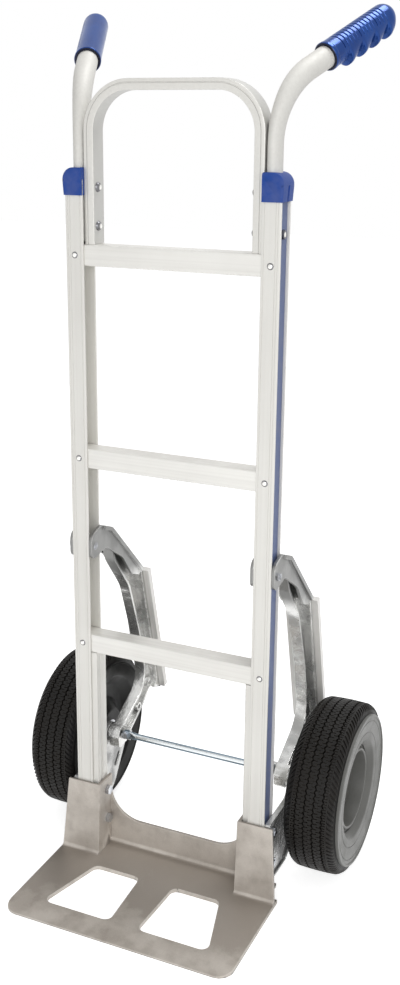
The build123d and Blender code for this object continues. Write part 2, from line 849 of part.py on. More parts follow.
with BuildPart() as wheel_arm:
    with BuildSketch(Plane.YZ.offset(rail_x - arm_half)):
        outline(upper_corners)
    extrude(amount=2 * arm_half)
    with BuildSketch(Plane.YZ.offset(rail_in - fit_gap)):
        side_face([
            (0, crown[1]), (rail_depth + fit_gap, crown[1]), (rail_depth + fit_gap, shoulder[1]),
            roof_start, roof_end, (roof_end[0], channel_floor), (0, channel_floor),
        ])
    extrude(amount=rail_width + 2 * fit_gap, mode=Mode.SUBTRACT)
    with BuildSketch(Plane.YZ.offset(rail_x - arm_half - arm_roof_overhang)):
        outline(roof_corners)
    extrude(amount=2 * (arm_half + arm_roof_overhang))
    with BuildSketch(Plane.YZ.offset(arm_leg_in)) as leg:
        outline(leg_corners)
    extrude(amount=arm_flange_width)
    for start in (arm_leg_in, rail_x + arm_web / 2):
        with BuildSketch(Plane.YZ.offset(start)):
            add(Plane.YZ.to_local_coords(leg.sketch))
            offset(amount=-arm_wall)
        extrude(amount=(arm_flange_width - arm_web) / 2, mode=Mode.SUBTRACT)
    with BuildSketch(Plane.YZ.offset(rail_x - arm_back_width / 2)):
        side_face([
            heel_top, heel, toe_tip, toe_low, heel_root,
            along(heel_top, heel, heel_length - arm_root_rise, -arm_wall),
            along(heel_top, heel, 0, -arm_wall),
        ])
    extrude(amount=arm_back_width)
    with BuildSketch(Plane.YZ.offset(arm_leg_in)):
        with Locations(side(arm_foot)):
            Circle(arm_foot_radius)
    extrude(amount=rail_out - arm_leg_in)
    with BuildSketch(Plane.YZ.offset(arm_leg_in)):
        with Locations(side(eye_point)):
            Circle(arm_eye_radius)
    extrude(amount=arm_flange_width)
    with BuildSketch(lug_back):
        with Locations(((lug_in + rail_x) / 2, brace_level)):
            Rectangle(rail_x - lug_in, brace_lug_height)
    extrude(amount=brace_lug_wall)
    cross_holes([arm_pin], arm_hole, rail_x - arm_half, rail_x + arm_half)
    cross_holes([arm_foot], arm_hole, foot_hole_end, rail_out)
    cross_holes([eye_point], arm_eye_hole_radius, arm_leg_in, arm_leg_in + arm_flange_width)
    with BuildSketch(lug_back):
        with Locations((brace_bolt_x, brace_level)):
            Circle(brace_hole)
    extrude(amount=brace_lug_wall, mode=Mode.SUBTRACT)
    for seat in screw_seats:
        with BuildSketch(facing(rail_x, *side(seat), screw_out)):
            Circle(wear_screw_radius + fit_gap)
        extrude(amount=-arm_wall - bolt_gap, mode=Mode.SUBTRACT)
save_pair(wheel_arm, "wheel_arm")

# Wear strips on the arms' backs, held by sunk screws
with BuildPart() as wear_strip:
    with BuildSketch(Plane.YZ.offset(rail_x - wear_strip_width / 2)):
        side_face([
            heel_top, heel, along(heel_top, heel, heel_length, wear_strip_thickness),
            along(heel_top, heel, 0, wear_strip_thickness),
        ])
    extrude(amount=wear_strip_width)
    fillet(wear_strip.faces().sort_by(Axis.Y)[-1].edges(), radius=wear_strip_edge)
    for seat in screw_heads:
        hole = facing(rail_x, *side(seat), screw_out)
        with BuildSketch(hole):
            Circle(wear_screw_radius + fit_gap)
        extrude(amount=-wear_strip_thickness, mode=Mode.SUBTRACT)
        with BuildSketch(hole):
            Circle(wear_screw_head_radius + fit_gap)
        extrude(amount=-wear_screw_sunk - wear_screw_head_height, mode=Mode.SUBTRACT)
save_pair(wear_strip, "wear_strip")
with BuildPart() as wear_strip_screws:
    for hand in (-1, 1):
        for seat in screw_heads:
            head = facing(hand * rail_x, *side(seat), screw_out)
            rod(head, wear_screw_head_radius, -wear_screw_sunk - wear_screw_head_height, -wear_screw_sunk)
            rod(head, wear_screw_radius, -wear_strip_thickness - arm_wall, -wear_screw_sunk)
save(wear_strip_screws, "wear_strip_screws")

# Arm bolts through the lugs and rails, their nuts, and spacers in the inner channels
with BuildPart() as arm_bolts:
    for hand in (-1, 1):
        seat = facing(hand * (rail_x - arm_half), *side(arm_pin), (-hand, 0, 0))
        rod(seat, arm_bolt_radius, -2 * arm_half - arm_nut_height - bolt_past_nut, 0)
        dome_head(seat, arm_bolt_head_radius, arm_bolt_head_height)
save(arm_bolts, "arm_bolts")
with BuildPart() as arm_nuts:
    for hand in (-1, 1):
        seat = facing(hand * (rail_x + arm_half), *side(arm_pin), (hand, 0, 0))
        hexagon(seat, arm_nut_across, arm_nut_height, arm_bolt_radius + fit_gap / 2)
save(arm_nuts, "arm_nuts")
with BuildPart() as arm_spacers:
    for hand in (-1, 1):
        seat = facing(hand * (rail_in - fit_gap), *side(arm_pin), (hand, 0, 0))
        rod(seat, arm_spacer_radius, 0, web_in - rail_in + fit_gap, arm_bolt_radius + fit_gap)
save(arm_spacers, "arm_spacers")

# Wheel brackets: gussets on the rails' outer sides, with bosses for the arm's foot and the axle
bracket_corners = [
    (bracket_front, bracket_top, bracket_top_round),
    (bracket_front, bracket_bottom, bracket_bottom_round),
    *placed(axle_point, bracket_toe, bracket_belly, bracket_tail_low, bracket_tail_high),
    *placed(arm_foot, bracket_foot_high, bracket_foot_low),
    (arm_foot[0] + bracket_saddle, bracket_top, bracket_saddle_round),
]
slot_middle = placed(axle_point, bracket_slot)[0]
with BuildPart() as wheel_bracket:
    with BuildSketch(Plane.YZ.offset(rail_out)) as plate:
        outline(bracket_corners)
    extrude(amount=bracket_thickness)
    with BuildSketch(Plane.YZ.offset(rail_out + bracket_web)):
        add(Plane.YZ.to_local_coords(plate.sketch))
        offset(amount=-bracket_rim)
    extrude(amount=bracket_thickness - bracket_web, mode=Mode.SUBTRACT)
    with BuildSketch(Plane.YZ.offset(rail_out)):
        with Locations(side(slot_middle)):
            SlotOverall(bracket_slot_length, bracket_slot_width, rotation=bracket_slot_turn)
    extrude(amount=bracket_thickness, mode=Mode.SUBTRACT)
    inner_face = wheel_bracket.faces().sort_by(Axis.X)[0]
    chamfer(inner_face.inner_wires().edges(), length=bracket_slot_edge)
    with BuildSketch(Plane.YZ.offset(rail_out)):
        with Locations(side(axle_point)):
            Circle(axle_boss_radius)
        with Locations(side(arm_foot)):
            Circle(arm_foot_radius)
    extrude(amount=bracket_thickness)
    cross_holes([axle_point], axle_radius + fit_gap, rail_out, bracket_out)
    cross_holes([arm_foot], arm_hole, rail_out, bracket_out)
    cross_holes(nose_points, nose_hole, rail_out, bracket_out)
save_pair(wheel_bracket, "wheel_bracket")

# Bolts through the brackets into the arms' feet
foot_bolt_end = arm_leg_in + arm_foot_floor
with BuildPart() as arm_foot_bolts:
    for hand in (-1, 1):
        seat = facing(hand * bracket_out, *side(arm_foot), (hand, 0, 0))
        rod(seat, arm_bolt_radius, foot_bolt_end - bracket_out, 0)
        hexagon(seat, arm_nut_across, arm_nut_height)
save(arm_foot_bolts, "arm_foot_bolts")

# Nose bolts through nose, liner, rail and bracket, with their nuts in the bracket
nose_nut_x = rail_out + bracket_web
nose_bolt_end = nose_nut_x + nose_nut_height + bolt_past_nut
with BuildPart() as nose_bolts:
    for hand in (-1, 1):
        for point in nose_points:
            seat = facing(hand * nose_wall_in, *side(point), (-hand, 0, 0))
            rod(seat, nose_bolt_radius, nose_wall_in - nose_bolt_end, 0)
            hexagon(seat, nose_bolt_across, nose_bolt_head)
save(nose_bolts, "nose_bolts")
with BuildPart() as nose_nuts:
    for hand in (-1, 1):
        for point in nose_points:
            seat = facing(hand * nose_nut_x, *side(point), (hand, 0, 0))
            hexagon(seat, nose_bolt_across, nose_nut_height, nose_bolt_radius + fit_gap / 2)
save(nose_nuts, "nose_nuts")

# Cross brace: a thin tube with flattened ends, bolted to lugs on the arms' feet
brace_y = brace_lug_front - brace_tab_thickness / 2
tab_start = brace_bolt_x - brace_tab_straight
tube_half = tab_start - brace_taper
with BuildPart() as cross_brace:
    rod(facing(-tube_half, brace_y, brace_level, (1, 0, 0)), brace_radius, 0, 2 * tube_half)
    for hand in (-1, 1):
        with BuildSketch(Plane.YZ.offset(hand * tube_half)):
            with Locations((brace_y, brace_level)):
                RectangleRounded(2 * brace_radius, 2 * brace_radius, brace_radius - fit_gap)
        with BuildSketch(Plane.YZ.offset(hand * tab_start)):
            with Locations((brace_y, brace_level)):
                RectangleRounded(brace_tab_thickness, brace_tab_height, brace_tab_round)
        loft()
        with BuildSketch(Plane.XZ.offset(-brace_lug_front)):
            with Locations((hand * (tab_start + brace_bolt_x) / 2, brace_level)):
                Rectangle(brace_bolt_x - tab_start, brace_tab_height)
            with Locations((hand * brace_bolt_x, brace_level)):
                Circle(brace_tab_height / 2)
                Circle(brace_hole, mode=Mode.SUBTRACT)
        extrude(amount=brace_tab_thickness)
save(cross_brace, "cross_brace")
brace_head_y = brace_lug_front - brace_tab_thickness
brace_nut_y = brace_lug_front + brace_lug_wall
brace_bolt_end = brace_nut_y + brace_bolt_head + bolt_past_nut
with BuildPart() as brace_bolts:
    for hand in (-1, 1):
        seat = facing(hand * brace_bolt_x, brace_head_y, brace_level, (0, -1, 0))
        rod(seat, brace_bolt_radius, brace_head_y - brace_bolt_end, 0)
        hexagon(seat, brace_bolt_across, brace_bolt_head)
save(brace_bolts, "brace_bolts")
with BuildPart() as brace_nuts:
    for hand in (-1, 1):
        seat = facing(hand * brace_bolt_x, brace_nut_y, brace_level, (0, 1, 0))
        hexagon(seat, brace_bolt_across, brace_bolt_head, brace_bolt_radius + fit_gap / 2)
save(brace_nuts, "brace_nuts")

# Stub axles: a collar against the bracket, a nut inside it, and a washer and clip past the hub
axle_line = facing(0, axle_y, axle_z, (1, 0, 0))
axle_start = rail_out - axle_nut_height - axle_past_nut
washer_start = wheel_mid + outer_bearing_end + axle_end_gap
clip_start = washer_start + axle_washer_thickness
axle_tip = clip_start + axle_clip_thickness + axle_past_clip
with BuildPart() as axle:
    rod(axle_line, axle_radius, axle_start, axle_tip)
    rod(axle_line, axle_collar_radius, bracket_out, wheel_mid - hub_inner_end - axle_end_gap)
save_pair(axle, "axle")
with BuildPart() as axle_nuts:
    for hand in (-1, 1):
        seat = facing(hand * rail_out, axle_y, axle_z, (-hand, 0, 0))
        hexagon(seat, axle_nut_across, axle_nut_height, axle_radius + fit_gap / 2)
save(axle_nuts, "axle_nuts")
with BuildPart() as axle_washers:
    for hand in (-1, 1):
        seat = facing(hand * washer_start, axle_y, axle_z, (hand, 0, 0))
        rod(seat, axle_washer_radius, 0, axle_washer_thickness, axle_radius + fit_gap / 2)
save(axle_washers, "axle_washers")
with BuildPart() as axle_clips:
    for hand in (-1, 1):
        seat = facing(hand * clip_start, axle_y, axle_z, (hand, 0, 0))
        rod(seat, axle_clip_radius, 0, axle_clip_thickness, axle_radius + fit_gap / 2)
save(axle_clips, "axle_clips")

# Wheels: sketches hold the distance along the axle and the radius
wheel_section = Plane(origin=(wheel_mid, axle_y, axle_z), x_dir=(1, 0, 0), z_dir=(0, -1, 0))
wheel_axis = Axis((wheel_mid, axle_y, axle_z), (1, 0, 0))


def turned(*corners):
    """Revolves a closed outline of (along, radius, corner radius) corners about the axle."""
    with BuildSketch(wheel_section) as profile:
        rounded([corner[:2] for corner in corners], [corner[2] for corner in corners])
    revolve(profile.sketch, axis=wheel_axis)


with BuildPart() as tyre:
    seat_radius = rim_seat_radius + fit_gap
    crown_edge = wheel_radius - tyre_crown_drop
    shoulder_radius = wheel_radius - tyre_shoulder_drop
    with BuildSketch(wheel_section):
        with BuildLine():
            Polyline(
                (-tyre_shoulder_half, shoulder_radius), (-tyre_half_width, rim_radius),
                (-tyre_half_width, seat_radius), (tyre_half_width, seat_radius),
                (tyre_half_width, rim_radius), (tyre_shoulder_half, shoulder_radius),
            )
            TangentArc(
                (tyre_shoulder_half, shoulder_radius), (tyre_crown_half, crown_edge),
                tangent=(tyre_shoulder_half - tyre_half_width, shoulder_radius - rim_radius),
            )
            ThreePointArc((tyre_crown_half, crown_edge), (0, wheel_radius), (-tyre_crown_half, crown_edge))
            TangentArc(
                (-tyre_shoulder_half, shoulder_radius), (-tyre_crown_half, crown_edge),
                tangent=(tyre_half_width - tyre_shoulder_half, shoulder_radius - rim_radius),
            )
        make_face()
    revolve(axis=wheel_axis)
    with BuildSketch(wheel_section):
        with Locations((0, wheel_radius)):
            with GridLocations(tread_groove_pitch, 0, tread_groove_count, 1):
                Rectangle(tread_groove_width, 2 * tread_groove_depth)
    revolve(axis=wheel_axis, mode=Mode.SUBTRACT)
save_pair(tyre, "tyre")

# Outer rim half: lip and dished face
lip_low = rim_radius - rim_lip_band
face_high = lip_out - rim_step
face_low = face_high - rim_face_dish
rim_core = rim_seat_radius - rim_wall
cap_seat = hub_cap_radius + fit_gap
recess_back = recess_floor - rim_wall
with BuildPart() as rim_outer:
    turned(
        (0, rim_seat_radius, 0), (flange_in, rim_seat_radius, 0), (flange_in, rim_radius, 0),
        (lip_out, rim_radius, rim_edge), (lip_out, lip_low, rim_edge), (face_high, lip_low, 0),
        (face_low, dish_outer_radius, dish_round), (dish_floor + dish_step, dish_inner_radius, 0),
        (dish_floor, dish_inner_radius, 0), (dish_floor, cup_flange_radius, 0),
        (face_low - rim_wall, dish_outer_radius + rim_wall, dish_round),
        (face_high - rim_wall, rim_core, 0), (0, rim_core, 0),
    )
save_pair(rim_outer, "rim_outer")

# Cup of the deep central recess, behind the dished face, and the web that closes its floor
cup_back = dish_floor - rim_wall
cup_foot = recess_floor_radius + rim_wall
cup_lip = dish_floor + cup_lip_height
with BuildPart() as rim_cup:
    turned(
        (dish_floor, cup_flange_radius, 0), (dish_floor, cup_valley_radius, cup_lip_round),
        (cup_lip, cup_lip_radius, cup_lip_round), (cup_lip, cup_mouth_radius, cup_lip_round),
        (recess_floor, recess_floor_radius, 0), (recess_floor, cup_foot, 0),
        (cup_back, cup_lip_radius + cup_lip_round, cup_lip_round), (cup_back, cup_flange_radius, 0),
    )
save_pair(rim_cup, "rim_cup")
with BuildPart() as rim_web:
    turned(
        (recess_back, cap_seat, 0), (recess_floor, cap_seat, 0),
        (recess_floor, cup_foot, 0), (recess_back, cup_foot, 0),
    )
save_pair(rim_web, "rim_web")

# Inner rim half: lip, shoulder, valley and the hub with its two bearing seats
rim_shoulder = rim_radius - rim_shoulder_band
bearing_seat = bearing_radius + fit_gap / 2
hub_bore = bearing_radius - bearing_shoulder
inner_seat_end = bearing_width - hub_inner_end
outer_seat_end = outer_bearing_end - bearing_width
valley_back = rim_wall - rim_valley
with BuildPart() as rim_inner:
    turned(
        (0, rim_seat_radius, 0), (-flange_in, rim_seat_radius, 0), (-flange_in, rim_radius, 0),
        (-lip_out, rim_radius, rim_edge), (-lip_out, lip_low, rim_edge), (-face_high, lip_low, 0),
        (-face_low, rim_shoulder, rim_shoulder_round),
        (-rim_valley, valley_outer_radius, valley_round), (-rim_valley, valley_inner_radius, valley_round),
        (-hub_inner_end, hub_boss_radius, hub_boss_round),
        (-hub_inner_end, bearing_seat, 0), (inner_seat_end, bearing_seat, 0), (inner_seat_end, hub_bore, 0),
        (outer_seat_end, hub_bore, 0), (outer_seat_end, bearing_seat, 0),
        (outer_bearing_end, bearing_seat, 0), (outer_bearing_end, hub_radius, 0),
        (valley_back, hub_radius, 0), (valley_back, valley_outer_radius + rim_wall, valley_round),
        (rim_wall - face_low, rim_shoulder + rim_wall, rim_shoulder_round),
        (rim_wall - face_high, rim_core, 0), (0, rim_core, 0),
    )
save_pair(rim_inner, "rim_inner")

# Bearings in the hub, which run on the axle
hub_line = facing(wheel_mid, axle_y, axle_z, (1, 0, 0))
for name, end in (("inner", inner_seat_end), ("outer", outer_bearing_end)):
    with BuildPart() as bearing:
        rod(hub_line, bearing_radius, end - bearing_width, end, axle_radius + axle_running_gap)
    save_pair(bearing, f"bearing_{name}")

# Hub caps close the recess over the axle's end
with BuildPart() as hub_cap:
    cap_inside = recess_floor - hub_cap_wall
    with BuildSketch(wheel_section):
        with BuildLine():
            Polyline((cap_inside, 0), (cap_inside, hub_cap_radius), (recess_floor, hub_cap_radius))
            TangentArc((recess_floor + hub_cap_dome, 0), (recess_floor, hub_cap_radius), tangent=(0, 1))
            Line((recess_floor + hub_cap_dome, 0), (cap_inside, 0))
        make_face()
    revolve(axis=wheel_axis)
save_pair(hub_cap, "hub_cap")
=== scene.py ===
import json
from math import atan2, cos, pi, radians, sin, sqrt, tan

import bmesh
import bpy
from bpy.props import FloatProperty, FloatVectorProperty, IntProperty, PointerProperty
from bpy.types import Operator, Panel, PropertyGroup
from mathutils import Matrix, Vector


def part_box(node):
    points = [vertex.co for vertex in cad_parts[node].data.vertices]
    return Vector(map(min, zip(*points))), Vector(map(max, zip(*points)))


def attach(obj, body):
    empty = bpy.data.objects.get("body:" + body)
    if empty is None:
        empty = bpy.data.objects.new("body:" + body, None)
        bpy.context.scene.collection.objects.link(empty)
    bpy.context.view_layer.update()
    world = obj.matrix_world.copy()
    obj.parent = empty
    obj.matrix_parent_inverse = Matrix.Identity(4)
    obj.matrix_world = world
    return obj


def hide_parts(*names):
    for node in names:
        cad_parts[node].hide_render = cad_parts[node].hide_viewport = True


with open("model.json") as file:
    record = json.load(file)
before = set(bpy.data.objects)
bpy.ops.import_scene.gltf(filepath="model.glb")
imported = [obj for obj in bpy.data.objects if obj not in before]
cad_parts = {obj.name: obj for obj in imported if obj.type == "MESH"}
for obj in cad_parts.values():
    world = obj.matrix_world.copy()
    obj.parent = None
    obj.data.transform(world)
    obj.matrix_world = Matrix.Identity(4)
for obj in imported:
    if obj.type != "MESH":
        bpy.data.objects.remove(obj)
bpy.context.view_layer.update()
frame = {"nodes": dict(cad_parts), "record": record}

bl_info = {
    "name": "Hand truck dresser",
    "version": (1, 0, 0),
    "blender": (4, 5, 0),
    "location": "3D View > Sidebar > Hand truck",
    "description": "Builds the visible pieces, finishes and studio of an aluminium hand truck",
    "category": "Object",
}

HANDS = {"left": -1.0, "right": 1.0}
NODE_SLOTS = {part["node"]: part["material_slot"] for part in frame["record"]["subparts"]}


def length(label, note, millimetres):
    """A length property whose default is given in millimetres."""
    return FloatProperty(
        name=label, description=note, default=millimetres / 1000,
        min=0, unit="LENGTH", precision=5,
    )


def angle(label, note, turn):
    """An angle property whose default is given in degrees."""
    return FloatProperty(name=label, description=note, default=radians(turn), subtype="ANGLE")


def number(label, note, value):
    """A plain number property."""
    return FloatProperty(name=label, description=note, default=value)


def count(label, note, value):
    """A whole number property."""
    return IntProperty(name=label, description=note, default=value, min=1)


def colour(label, note, red, green, blue):
    """A colour property in linear light."""
    return FloatVectorProperty(
        name=label, description=note, default=(red, green, blue, 1),
        size=4, subtype="COLOR", min=0, max=1,
    )


class RailSizes(PropertyGroup):
    """Sizes of the rails' and liners' sections."""

    flange: length("Flange", "Thickness of the front and back flanges", 2.75)
    web: length("Web", "Thickness of the web between the channels", 2.0)
    strip_channel: length("Strip channel", "Depth of the outer channel that holds the strip", 4.8)
    corner: length("Corner", "Rounding of the section's outer corners", 0.6)
    inside: length("Inside corner", "Rounding of the channels' inside corners", 0.8)
    line_width: length("Line width", "Width of a die line along the rail", 1.0)
    line_depth: length("Line depth", "Depth of a die line along the rail", 0.45)
    line_from_edge: length(
        "Line from edge", "Distance of the first die line from the flange's edge", 3.6
    )
    line_pitch: length("Line pitch", "Distance between neighbouring die lines", 3.2)
    liner_groove: length("Liner groove", "Depth of the groove along the liner's side", 1.6)
    liner_groove_width: length(
        "Liner groove width", "Width of the groove along the liner's side", 7.0
    )
    liner_corner: length("Liner corner", "Rounding of the liner's corners", 2.0)


class CapSizes(PropertyGroup):
    """Sizes of the rail caps."""

    shoulder: length("Shoulder", "Rounding of the outer top edge", 15.0)
    edge: length("Edge", "Rounding of the front and back edges", 2.6)
    taper: length("Taper", "Draw-in of the side from top to bottom", 1.4)
    slot_width: length("Slot width", "Width of the slot down the side", 6.0)
    slot_depth: length("Slot depth", "Depth of the slot down the side", 2.2)
    slot_from_top: length("Slot from top", "Distance of the slot from the top", 15.0)
    over_rail: length(
        "Over rail", "Distance from the rail's end to the level at which its bar stops", 11.0
    )


class LoopSizes(PropertyGroup):
    """Sizes of the top loop's section and bends."""

    width: length("Width", "Width of the loop's section in its plane", 14.0)
    bend: length("Bend", "Outer radius of the two bends", 64.0)
    groove_from_edge: length("Groove from edge", "Distance of the groove from the outer edge", 5.2)
    groove_width: length("Groove width", "Width of the groove on the front and back", 1.6)
    groove_depth: length("Groove depth", "Depth of the groove on the front and back", 0.8)
    edge: length("Edge", "Rounding of the section's edges", 0.8)
    bend_steps: count("Bend steps", "Sections around each bend", 28)


class HandleSizes(PropertyGroup):
    """Sizes of the handle tubes and grips."""

    oval_x: length("Oval width", "Half width of the tube where it stands in the rail", 9.2)
    oval_y: length("Oval depth", "Half depth of the tube where it stands in the rail", 13.9)
    radius: length("Tube radius", "Radius of the tube past its bend", 14.0)
    bend_level: length("Bend level", "Height at which the bend starts", 1047.0)
    bend_radius: length("Bend radius", "Radius of the bend", 97.0)
    bend_angle: angle("Bend angle", "Turn of the bend from upright", 65.0)
    splay: angle("Splay", "Turn of the bend outwards from straight back", 22.3)
    to_grip: length("Tube to grip", "Length of bare tube past the bend", 32.0)
    grip_length: length("Grip length", "Length of the grip", 132.0)
    grip_radius: length("Grip radius", "Radius of the grip", 17.5)
    collar: length("Collar", "Height of the collar over the grip", 0.6)
    collar_length: length("Collar length", "Length of the collar at the grip's mouth", 5.0)
    dome: length("Dome", "Length of the rounded end", 16.0)
    tip: length("Tip", "Radius of the flat at the tip", 4.5)
    rib_count: count("Ribs", "Number of gaps between the ribs on top", 14)
    rib_start: length("Rib start", "First gap's distance from the mouth", 20.0)
    rib_pitch: length("Rib pitch", "Distance between neighbouring gaps", 6.6)
    rib_gap: length("Rib gap", "Width of a gap", 2.2)
    rib_depth: length("Rib depth", "Depth of a gap", 1.1)
    rib_middle: angle("Rib middle", "Roll of the middle of the ribs from straight up", 15.0)
    rib_half: angle("Rib reach", "Half of the roll that the ribs cover", 75.0)
    left_turn: angle("Left turn", "Extra outward roll of the left grip's ribs", 105.0)
    finger_count: count("Finger ridges", "Number of ridges below", 4)
    finger_start: length("Finger start", "First ridge's distance from the mouth", 26.0)
    finger_pitch: length("Finger pitch", "Distance between neighbouring ridges", 26.5)
    finger_height: length("Finger height", "Height of a ridge", 6.5)
    finger_lead: length("Finger lead", "Length of the ridge's steep side", 3.0)
    finger_flat: length("Finger flat", "Length of the flat on a ridge", 1.5)
    finger_slope: length("Finger slope", "Length of the ridge's long side", 22.0)
    finger_roll: angle("Finger roll", "Roll of the ridges from straight up", 152.0)
    finger_half: angle("Finger width", "Half of the roll that a ridge covers", 68.0)
    line_count: count("Fine lines", "Number of fine lines near the mouth", 6)
    line_start: length("Line start", "First fine line's distance from the mouth", 8.5)
    line_pitch: length("Line pitch", "Distance between neighbouring fine lines", 3.4)
    line_width: length("Line width", "Width of a fine line", 1.7)
    line_depth: length("Line depth", "Depth of a fine line", 0.7)
    line_roll: angle("Line roll", "Roll of the fine lines from straight up", 118.0)
    line_half: angle("Line reach", "Half of the roll that a fine line covers", 22.0)


class TreadSizes(PropertyGroup):
    """Sizes of the tyres' tread."""

    pitches: count("Pitches", "Tread blocks around the tyre", 100)
    grooves: count("Grooves", "Grooves around the tyre", 4)
    groove_pitch: length("Groove pitch", "Distance between neighbouring grooves", 13.0)
    groove_width: length("Groove width", "Width of a groove at the top", 3.0)
    groove_floor: length("Groove floor", "Width of a groove at its floor", 1.4)
    groove_depth: length("Groove depth", "Depth of a groove", 4.5)
    zigzag: length("Zigzag", "Sideways wander of a groove", 1.1)
    sipe_depth: length("Sipe depth", "Depth of the slits across a rib", 1.6)
    notch_depth: length("Notch depth", "Depth of the slanted notches on the shoulder", 2.4)
    crown_half: length("Crown half", "Half width of the crown", 26.0)
    crown_drop: length("Crown drop", "Fall of the crown from its middle to its edge", 0.9)
    shoulder_half: length("Shoulder half", "Half width at the shoulder", 34.0)
    shoulder_drop: length("Shoulder drop", "Fall of the shoulder from the crown", 5.5)
    height: length("Height", "Height of the tyre over the rim", 15.0)
    bead: length("Bead", "Depth of the bead inside the rim's lips", 11.9)


class RimSizes(PropertyGroup):
    """Sizes of the rims' turned sections."""

    seat: length("Seat", "Radius of the tyre's seat", 100.0)
    lip: length("Lip", "Outer radius of the lip", 112.0)
    lip_in: length("Lip inside", "Distance of the lip's inner face from the wheel's middle", 36.4)
    lip_out: length("Lip outside", "Distance of the lip's outer face from the wheel's middle", 40.6)
    lip_band: length("Lip band", "Width of the lip's outer face", 3.5)
    step: length("Step", "Step from the lip down to the face", 1.0)
    dish: length("Dish", "Fall of the face from the lip to the recess", 3.0)
    wall: length("Wall", "Wall thickness", 4.0)
    ring_width: length("Ring width", "Width of a ring groove on the face", 1.2)
    ring_depth: length("Ring depth", "Depth of a ring groove on the face", 0.6)
    dish_outer: length("Dish outside", "Radius at which the face turns down into the valley", 74.0)
    dish_inner: length("Dish inside", "Inner radius of the dished face", 66.0)
    dish_round: length("Dish rounding", "Rounding of the face's turn into the valley", 5.0)
    valley: length("Valley", "Distance of the valley from the wheel's middle", 25.0)
    valley_step: length("Valley step", "Thickness of the dished face's inner edge", 2.0)
    flange: length("Flange", "Outer radius of the cup's flange", 70.0)
    cup_valley: length("Cup valley", "Radius of the cup's foot in the valley", 62.5)
    cup_height: length("Cup height", "Height of the cup's lip over the valley", 5.0)
    cup_lip: length("Cup lip", "Outer radius of the cup's lip", 59.5)
    cup_mouth: length("Cup mouth", "Inner radius of the cup's lip", 56.0)
    cup_round: length("Cup rounding", "Rounding of the cup's lip", 1.6)
    floor: length("Recess floor", "Radius of the recess at its floor", 54.0)
    floor_out: length("Floor level", "Distance of the recess floor from the wheel's middle", 9.0)
    segments: count("Segments", "Facets around the wheel", 160)


class EdgeSizes(PropertyGroup):
    """Rounding of edges on the cast, moulded and machined pieces."""

    nose: length("Nose", "Rounding of the nose plate's edges", 1.0)
    nose_level: length("Nose level", "Height above which the nose plate's edges are rounded", 6.5)
    arm: length("Arm", "Rounding of the wheel arms' edges", 0.9)
    bracket: length("Bracket", "Rounding of the wheel brackets' edges", 0.8)
    strip: length("Wear strip", "Rounding of the wear strips' edges", 0.5)


